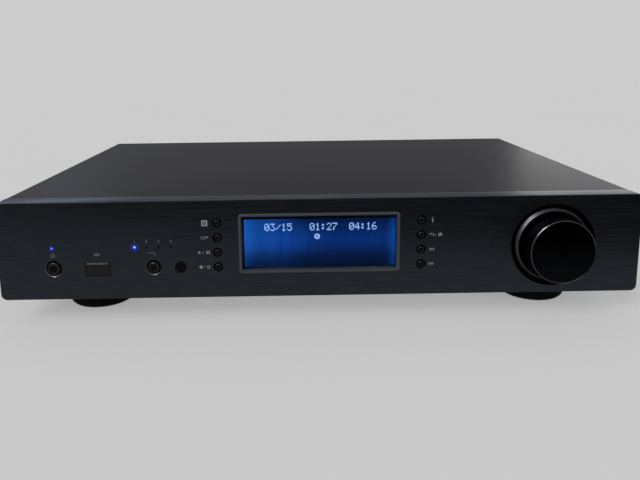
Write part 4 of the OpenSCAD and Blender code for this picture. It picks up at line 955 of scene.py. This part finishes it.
def thicken():
    """Extrudes all flat shapes towards the viewer and leaves edit mode."""
    bpy.ops.mesh.select_all(action="SELECT")
    bpy.ops.mesh.extrude_region_move(TRANSFORM_OT_translate={"value": (0, -INK, 0)})
    bpy.ops.mesh.select_all(action="SELECT")
    bpy.ops.mesh.normals_make_consistent(inside=False)
    bpy.ops.object.mode_set(mode="OBJECT")


def settle(piece, finish_name, body):
    """Gives a piece its finish and its slot, and sets it on its body."""
    piece.data.materials.clear()
    piece.data.materials.append(finishes[finish_name])
    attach(piece, body)
    print(piece.name, "faces", len(piece.data.polygons))


def join(name, pieces):
    """Joins pieces to one, with their places in its mesh."""
    bpy.ops.object.select_all(action="DESELECT")
    for piece in pieces:
        piece.select_set(True)
    bpy.context.view_layer.objects.active = pieces[0]
    bpy.ops.object.transform_apply()
    bpy.ops.object.join()
    pieces[0].name = name
    return pieces[0]


INKS = {
    "ink_grey": (0.152, 0.155, 0.165),
    "ink_dim": (0.125, 0.13, 0.145),
    "ink_pale": (0.34, 0.35, 0.37),
}
for name, colour in INKS.items():
    moulding(name, colour, 0.55, specular=0.3, grain_scale=3000)

# %% [markdown]
# ### Signs over the lower controls
#
# The standby button, the front socket and the filter button each have a common sign above them: an open
# ring with a bar, an outline of the socket, and a line that is level and then falls. Each could be a
# piece of its own, but they stand at one height in one ink, so one print holds them all.

# %% Print the small signs
SIGN_RISE = 31.2 * MM


def over(control):
    """The place of a sign on the panel face above a control."""
    return Vector((control.x, FACE_Y, PANEL_FOOT + SIGN_RISE))


signs = begin_mesh("small_signs")
ring_sign(over(standby), 0, -0.1, 1.45, 0.32, gap=5)
bar_sign(over(standby), 0, 0.95, 0.32, 1.6)
front_socket = over(middle("usb_dust_cover"))
ring_sign(front_socket, 0, 0, 0.85, 0.3, wide=2.4)
for dx in (-0.55, 0.55):
    bar_sign(front_socket, dx, 0, 0.42, 0.42)
bar_sign(over(filter_key), -1.9, 0.75, 3.6, 0.32)
bar_sign(over(filter_key), 0.95, -0.12, 2.5, 0.32, lean=math.radians(-42))
thicken()
settle(signs, "ink_dim", "chassis")

# %% [markdown]
# ### Numbers over the lights
#
# Numerals are easiest as text: each is typed with the thickness of the ink, turned into a mesh, stood up
# on the panel face and joined to the others. Drawing them from bars would do, but the font's shapes are
# rounder.

# %% Print the numbers
CAPITAL_SHARE = 0.7
DIGIT_HEIGHT = 1.7 * MM
DIGIT_LIFT = 3.1 * MM


def numeral(number, x):
    """A number over the light at x."""
    bpy.ops.object.select_all(action="DESELECT")
    bpy.ops.object.text_add(location=(0, 0, 0))
    typed = bpy.context.object.data
    typed.body = str(number)
    typed.size = DIGIT_HEIGHT / CAPITAL_SHARE
    typed.extrude = INK / 2
    typed.align_x = "CENTER"
    bpy.ops.object.convert(target="MESH")
    made = bpy.context.object
    foot = Vector((x, FACE_Y - INK / 2, LIGHT_Z + DIGIT_LIFT))
    made.matrix_world = Matrix.Translation(foot) @ turned(QUARTER, "X")
    return made


digits = [numeral(i + 1, filter_light + i * light_pitch) for i in range(LIGHT_COUNT)]
settle(join("light_numbers", digits), "ink_dim", "chassis")

# %% [markdown]
# ### Signs of the two key columns
#
# Each key has a common sign beside it: list, repeat, play and pause, stop and mark on the left;
# information, back and home, next and previous on the right. A font of signs would need a file of its
# own, so they are built from bars, arrows and rings, row by row.

# %% Helpers for the key signs
SLASH_WIDTH = 0.18
SLASH_LEAN = math.radians(-20)


def key_column(side):
    """The four keys of a column, from the top, as places on the panel face."""
    keys = [middle(f"{side}_key_{i}") for i in (1, 2, 3, 4)]
    return [Vector((key.x, FACE_Y, key.z)) for key in keys]


def slash_sign(origin, dx, height):
    """A thin leaning bar between two signs."""
    bar_sign(origin, dx, 0, SLASH_WIDTH, height, lean=SLASH_LEAN)


def skip_sign(origin, dx, way):
    """Two arrows against a bar, to the right with 1 and to the left with -1."""
    for step in (-0.9, 0.3):
        arrow_sign(origin, dx + way * step, 0, 1.2, way * QUARTER, wide=0.62)
    bar_sign(origin, dx + way * 1.4, 0, 0.4, 2.1)


list_key, repeat_key, play_key, stop_key = key_column("left")
info_key, back_key, next_key, previous_key = key_column("right")
print("key columns at mm", in_mm(list_key), in_mm(info_key))

# %% Print the key signs
LIST_X = -8.2
LIST_BARS = (
    (0, 1.55, 4.0, 0.9), (0, -1.55, 4.0, 0.9), (1.55, 0, 0.9, 2.2), (-1.55, 0, 0.9, 2.2),
    (0, 0.45, 1.5, 0.4), (0, -0.45, 1.5, 0.4),
)
key_signs = begin_mesh("key_signs")
for dx, dz, width, height in LIST_BARS:
    bar_sign(list_key, LIST_X + dx, dz, width, height)
ring_sign(repeat_key, -9.3, 0, 0.95, 0.24, wide=1.9)
arrow_sign(repeat_key, -6.6, 0.5, 0.8, QUARTER)
arrow_sign(play_key, -12.2, 0, 1.25, QUARTER)
slash_sign(play_key, -9.6, 2.2)
for dx in (-7.1, -5.7):
    bar_sign(play_key, dx, 0, 0.75, 2.2)
bar_sign(stop_key, -11.4, 0, 2.1, 2.1)
slash_sign(stop_key, -9.0, 2.2)
ring_sign(stop_key, -6.4, 0, 1.15, 0.5)

bar_sign(info_key, 7.3, -0.45, 0.75, 2.3)
bar_sign(info_key, 7.3, 1.5, 0.75, 0.7)
arrow_sign(back_key, 6.1, 0.5, 0.85, -QUARTER)
bar_sign(back_key, 7.5, 0.5, 1.7, 0.45)
bar_sign(back_key, 8.15, -0.45, 0.45, 1.45)
slash_sign(back_key, 9.6, 2.1)
arrow_sign(back_key, 12.6, 0.45, 1.05, 0, wide=1.9)
for dx in (11.85, 13.35):
    bar_sign(back_key, dx, -0.65, 0.75, 1.2)
skip_sign(next_key, 7.0, 1)
skip_sign(previous_key, 6.9, -1)
thicken()
settle(key_signs, "ink_grey", "chassis")

# %% [markdown]
# ## Display line
#
# The display is a dot matrix: each figure is five dots wide and seven high. A line of track and time
# figures could be typed in a dotted font, but that needs a font file. Here it is set from small patterns,
# one row of five dots to a number, so the dots are real squares that lie on the display. Below the line
# stands a small round mark. The dots light themselves, a little unevenly. Their sizes are in millimetres,
# like those of the signs.

# %% Finish the dots
tree, sockets = finish("display_dots", (0.3, 0.5, 0.8), 0.5, specular=0.1)
coat = effect(tree, grain, Scale=1500, Patches=120)
light_up(sockets, tint(ranged(coat["Clouds"], 0, 1), (0.21, 0.38, 0.74), (0.35, 0.54, 0.88)), strength=0.6)

# %% Set the dots of the display line
FIGURES = {
    "0": (14, 17, 19, 21, 25, 17, 14), "1": (4, 12, 4, 4, 4, 4, 14), "2": (14, 17, 1, 2, 4, 8, 31),
    "3": (31, 2, 4, 2, 1, 17, 14), "4": (2, 6, 10, 18, 31, 2, 2), "5": (31, 16, 30, 1, 1, 17, 14),
    "6": (6, 8, 16, 30, 17, 17, 14), "7": (31, 1, 2, 4, 8, 8, 8), ":": (0, 12, 12, 0, 12, 12, 0),
    "/": (0, 1, 2, 4, 8, 16, 0),
}
LINE = "03/15   01:27  04:16"
DOTS_WIDE = 5
CELL, DOT, DOT_PITCH, DOT_RISE = 3.81, 0.6, 0.66, 0.73
screen_foot = Vector((0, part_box("lcd_panel")[0].y, PANEL_FOOT))
line_start = spot(screen_foot, -36.45, 48.84)
mark = spot(screen_foot, -1.3, 39.9)

display_line = begin_mesh("display_line")
for i, letter in enumerate(LINE):
    for row, bits in enumerate(FIGURES.get(letter, ())):
        for column in range(DOTS_WIDE):
            if bits >> (DOTS_WIDE - 1 - column) & 1:
                bar_sign(line_start, i * CELL + column * DOT_PITCH, -row * DOT_RISE, DOT, DOT)
ring_sign(mark, 0, 0, 1.85, 0.8)
bar_sign(mark, 0, 0, 0.9, 0.5)
thicken()
settle(display_line, "display_dots", "chassis")

# %% [markdown]
# ## Marks on the mains rocker
#
# A mains rocker carries a bar for on and a ring for off, pressed into its two halves. They are printed
# here as thin shapes that lie on the tilted halves and move with the rocker. The shapes are laid out flat
# at the origin, then turned to the slope of each half.

# %% Print the rocker marks
TILT = math.radians(10)
HALF_RISE, HALF_LENGTH = 1.6, 8.4
HALF_SLOPE = math.atan2(HALF_RISE, HALF_LENGTH)
VALLEY = 4.0 * MM
MARK_RISE = 3.4 * MM
ORIGIN = Vector((0, 0, 0))
rocker_joint = next(j for j in frame["joints"] if j["name"] == "mains_rocker_tilt")
rocker_axis = Matrix.Translation(Vector(rocker_joint["pos_m"])) @ turned(TILT, "X")


def lay_on_rocker(made, side):
    """Lays a flat mark on the upper half of the rocker with 1, or on the lower half with -1."""
    thicken()
    lift = Matrix.Translation((0, VALLEY + MARK_RISE * math.tan(HALF_SLOPE) + INK, side * MARK_RISE))
    made.matrix_world = rocker_axis @ lift @ turned(-side * HALF_SLOPE, "X")
    bpy.ops.object.transform_apply()
    settle(made, "ink_pale", "mains_rocker")


on_bar = begin_mesh("rocker_on_bar")
bar_sign(ORIGIN, 0, 0, 0.7, 3.2)
lay_on_rocker(on_bar, 1)
off_ring = begin_mesh("rocker_off_ring")
ring_sign(ORIGIN, 0, 0, 1.6, 0.6)
lay_on_rocker(off_ring, -1)

# %% [markdown]
# ## Screws with a cross recess
#
# The case screws show their heads at the sides and the back. A real head is domed at its rim and has a
# cross recess. A cylinder of the head's size is the start: its lower face is inset and extruded to the
# shank, its upper rim is bevelled, the recess is cut by a cross-shaped tool, and the finished screw is
# copied to each hole.

# %% Helpers for the screws
CROSS_LONG, CROSS_WIDE, CROSS_DEEP = 3.0 * MM, 0.75 * MM, 1.1 * MM


def select_only(made, kind, chosen):
    """Goes to edit mode with only the chosen faces or edges of a mesh selected."""
    bpy.ops.object.mode_set(mode="EDIT")
    bpy.ops.mesh.select_mode(type=kind)
    bpy.ops.mesh.select_all(action="DESELECT")
    bpy.ops.object.mode_set(mode="OBJECT")
    for part in made.data.polygons if kind == "FACE" else made.data.edges:
        part.select = chosen(part)
    bpy.ops.object.mode_set(mode="EDIT")


def cut_cross(made, height):
    """Cuts a cross recess into the top of a screw head."""
    top = (0, 0, height)
    bpy.ops.object.select_all(action="DESELECT")
    bpy.ops.mesh.primitive_cube_add(size=1, location=top)
    tool = bpy.context.object
    tool.scale = (CROSS_LONG, CROSS_WIDE, CROSS_DEEP)
    bpy.ops.object.transform_apply()
    bpy.ops.object.mode_set(mode="EDIT")
    bpy.ops.mesh.primitive_cube_add(size=1, location=top)
    bpy.ops.transform.resize(value=(CROSS_WIDE, CROSS_LONG, CROSS_DEEP), center_override=top)
    bpy.ops.object.mode_set(mode="OBJECT")
    bpy.ops.object.select_all(action="DESELECT")
    made.select_set(True)
    bpy.context.view_layer.objects.active = made
    cut = made.modifiers.new("cross", "BOOLEAN")
    cut.operation = "DIFFERENCE"
    cut.use_self = True
    cut.object = tool
    bpy.ops.object.modifier_apply(modifier=cut.name)
    bpy.data.objects.remove(tool)


print("screw helpers ready")

# %% Model the two screws
HEAD_R = 2.75 * MM
SHANK_R = 1.5 * MM
SHANK_LENGTH = 4.4 * MM
TALL_HEAD, LOW_HEAD = 1.8 * MM, 0.9 * MM
DOME_SHARE = 0.6
DOWNWARD = -0.9
HAIR = 0.001 * MM


def model_screw(height):
    """A pan head along +Z with its seat at zero and its shank below."""
    bpy.ops.object.select_all(action="DESELECT")
    bpy.ops.mesh.primitive_cylinder_add(
        vertices=40, radius=HEAD_R, depth=height, location=(0, 0, height / 2)
    )
    made = bpy.context.object
    bpy.ops.object.transform_apply()
    select_only(made, "FACE", lambda face: face.normal.z < DOWNWARD)
    bpy.ops.mesh.inset(thickness=HEAD_R - SHANK_R, depth=0)
    bpy.ops.mesh.extrude_region_move(TRANSFORM_OT_translate={"value": (0, 0, -SHANK_LENGTH)})
    points = made.data.vertices
    select_only(made, "EDGE", lambda edge: all(points[i].co.z > height - HAIR for i in edge.vertices))
    bpy.ops.mesh.bevel(offset=DOME_SHARE * min(MM, height), segments=3)
    bpy.ops.object.mode_set(mode="OBJECT")
    cut_cross(made, height)
    return made


tall_screw = model_screw(TALL_HEAD)
low_screw = model_screw(LOW_HEAD)
print("screw faces", len(tall_screw.data.polygons), len(low_screw.data.polygons))

# %% [markdown]
# ### Copies of the screws
#
# The places of the screws come from the solids they replace: each solid screw is one island of its node's
# mesh, so the islands' boxes give the seats. A screw is as wide as its head along two axes, and its own
# axis is the third; the head lies on the outside. The side screws have low heads. Each screw is turned a
# little further than the last, as no two stop alike.

# %% Find the places of the screws
ISLAND_REACH = 9 * MM


def islands(name):
    """The boxes of the separate solids in a CAD node."""
    groups = []
    for vertex in nodes[name].data.vertices:
        point = vertex.co.copy()
        own = next((g for g in groups if (g[0] - point).length < ISLAND_REACH), None)
        if own is None:
            groups.append([point])
        else:
            own.append(point)
    return [tuple(Vector([pick(side) for side in zip(*g)]) for pick in (min, max)) for g in groups]


print("screws found", len(islands("cover_screws")), len(islands("rear_screws")))

# %% Copy the screws to their places
FIRST_SPIN, SPIN_STEP = 0.5, 0.9


def copy_of(model, placing):
    """A copy with its own mesh, put in place by a matrix."""
    made = model.copy()
    made.data = model.data.copy()
    bpy.context.scene.collection.objects.link(made)
    made.matrix_world = placing
    return made


def copy_screws(name, node):
    """Copies of the model screws where the node's screws are, joined to one piece."""
    copies = []
    for low, high in islands(node):
        size = high - low
        axis = max(range(3), key=lambda i: abs(size[i] - 2 * HEAD_R))
        model, head = (low_screw, LOW_HEAD) if axis == 0 else (tall_screw, TALL_HEAD)
        out = Vector((0, 0, 0))
        out[axis] = math.copysign(1, low[axis] + high[axis])
        seat = (low + high) / 2 + out * (size[axis] / 2 - head)
        facing_out = out.to_track_quat("Z", "Y").to_matrix().to_4x4()
        spin = turned(FIRST_SPIN + SPIN_STEP * len(copies), "Z")
        copies.append(copy_of(model, Matrix.Translation(seat) @ facing_out @ spin))
    screws = join(name, copies)
    bpy.ops.object.shade_smooth_by_angle(angle=math.radians(35))
    settle(screws, "screw_black", "chassis")
    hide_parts(node)


copy_screws("case_screws", "cover_screws")
copy_screws("socket_screws", "rear_screws")
for model in (tall_screw, low_screw):
    bpy.data.objects.remove(model)

# %% [markdown]
# ## Ring at the foot of the knob
#
# The ring is turned with one broad slope towards its rim, which is why the lamp above lights all of its
# width at one place. A spin of the profile would do; here a circle is drawn at the back of the rim and
# extruded ring by ring along the profile, and the two open loops are bridged at the back, so that the
# ring is closed.

# %% Model the sloped ring
PROFILE = ((0, 1.85), (0.08, 1.72), (1.78, 0.06), (1.9, 0), (2.05, 0.06), (2.2, 0.3))
ring_low, ring_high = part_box("knob_ring")
RIM_R = (ring_high.x - ring_low.x) / 2
loops = [(RIM_R - inward * MM, ring_low.y + depth * MM) for inward, depth in PROFILE]
loops.append((loops[-1][0], ring_high.y))
bpy.ops.object.select_all(action="DESELECT")
bpy.ops.mesh.primitive_circle_add(
    vertices=160, radius=RIM_R, location=(knob_axis.x, ring_high.y, knob_axis.z), rotation=(QUARTER, 0, 0)
)
foot_ring = bpy.context.object
foot_ring.name = "knob_foot_ring"
bpy.ops.object.transform_apply()
bpy.ops.object.mode_set(mode="EDIT")
bpy.ops.mesh.select_mode(type="EDGE")
bpy.ops.mesh.select_all(action="SELECT")
last_r, last_y = RIM_R, ring_high.y
for loop_r, loop_y in loops:
    bpy.ops.mesh.extrude_edges_move(TRANSFORM_OT_translate={"value": (0, loop_y - last_y, 0)})
    stretch((knob_axis.x, loop_y, knob_axis.z), loop_r / last_r, loop_r / last_r)
    last_r, last_y = loop_r, loop_y
bpy.ops.mesh.select_non_manifold(extend=False)
bpy.ops.mesh.bridge_edge_loops()
bpy.ops.mesh.select_all(action="SELECT")
bpy.ops.mesh.normals_make_consistent(inside=False)
bpy.ops.object.mode_set(mode="OBJECT")
bpy.ops.object.shade_smooth_by_angle(angle=math.radians(30))
settle(foot_ring, "ring_silver", "chassis")
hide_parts("knob_ring")

# %% [markdown]
# ## Contacts in the data sockets
#
# The network socket has eight sprung wires, and the flat computer sockets have four strips on their
# tongues. Each is a thin bar with bevelled edges, modelled once and copied at the socket's pitch. The
# sockets' places are the record's mounts.

# %% Model the contacts
CONTACT_Y = -6.5
WIRES, WIRE_PITCH, WIRE_RISE = 8, 1.02, 3.95
STRIPS, STRIP_PITCH, STRIP_RISE = 4, 2.4, 3.75


def contact_bar(width, length, height):
    """A thin bar along Y with its edges eased, by its sizes in millimetres."""
    bpy.ops.object.select_all(action="DESELECT")
    bpy.ops.mesh.primitive_cube_add(size=MM)
    made = bpy.context.object
    made.scale = (width, length, height)
    bpy.ops.object.transform_apply()
    bpy.ops.object.mode_set(mode="EDIT")
    bpy.ops.mesh.select_all(action="SELECT")
    bpy.ops.mesh.bevel(offset=height * MM / 4, segments=1)
    bpy.ops.object.mode_set(mode="OBJECT")
    return made


def contact_row(name, bar, socket, places):
    """Copies of a bar inside a socket, at millimetres from its mount, joined to one gilded piece."""
    inside = mount_place[socket] + Vector((0, CONTACT_Y, 0)) * MM
    copies = [copy_of(bar, Matrix.Translation(spot(inside, dx, dz))) for dx, dz in places]
    bpy.data.objects.remove(bar)
    settle(join(name, copies), "gold_metal", "chassis")


wire_places = [((i - (WIRES - 1) / 2) * WIRE_PITCH, WIRE_RISE) for i in range(WIRES)]
contact_row("network_contacts", contact_bar(0.4, 9, 0.3), "network_socket", wire_places)
strip_xs = [(i - (STRIPS - 1) / 2) * STRIP_PITCH for i in range(STRIPS)]
strip_places = [(dx, dz) for dx in strip_xs for dz in (-STRIP_RISE, STRIP_RISE)]
contact_row("computer_contacts", contact_bar(1.0, 8, 0.1), "computer_socket_pair", strip_places)
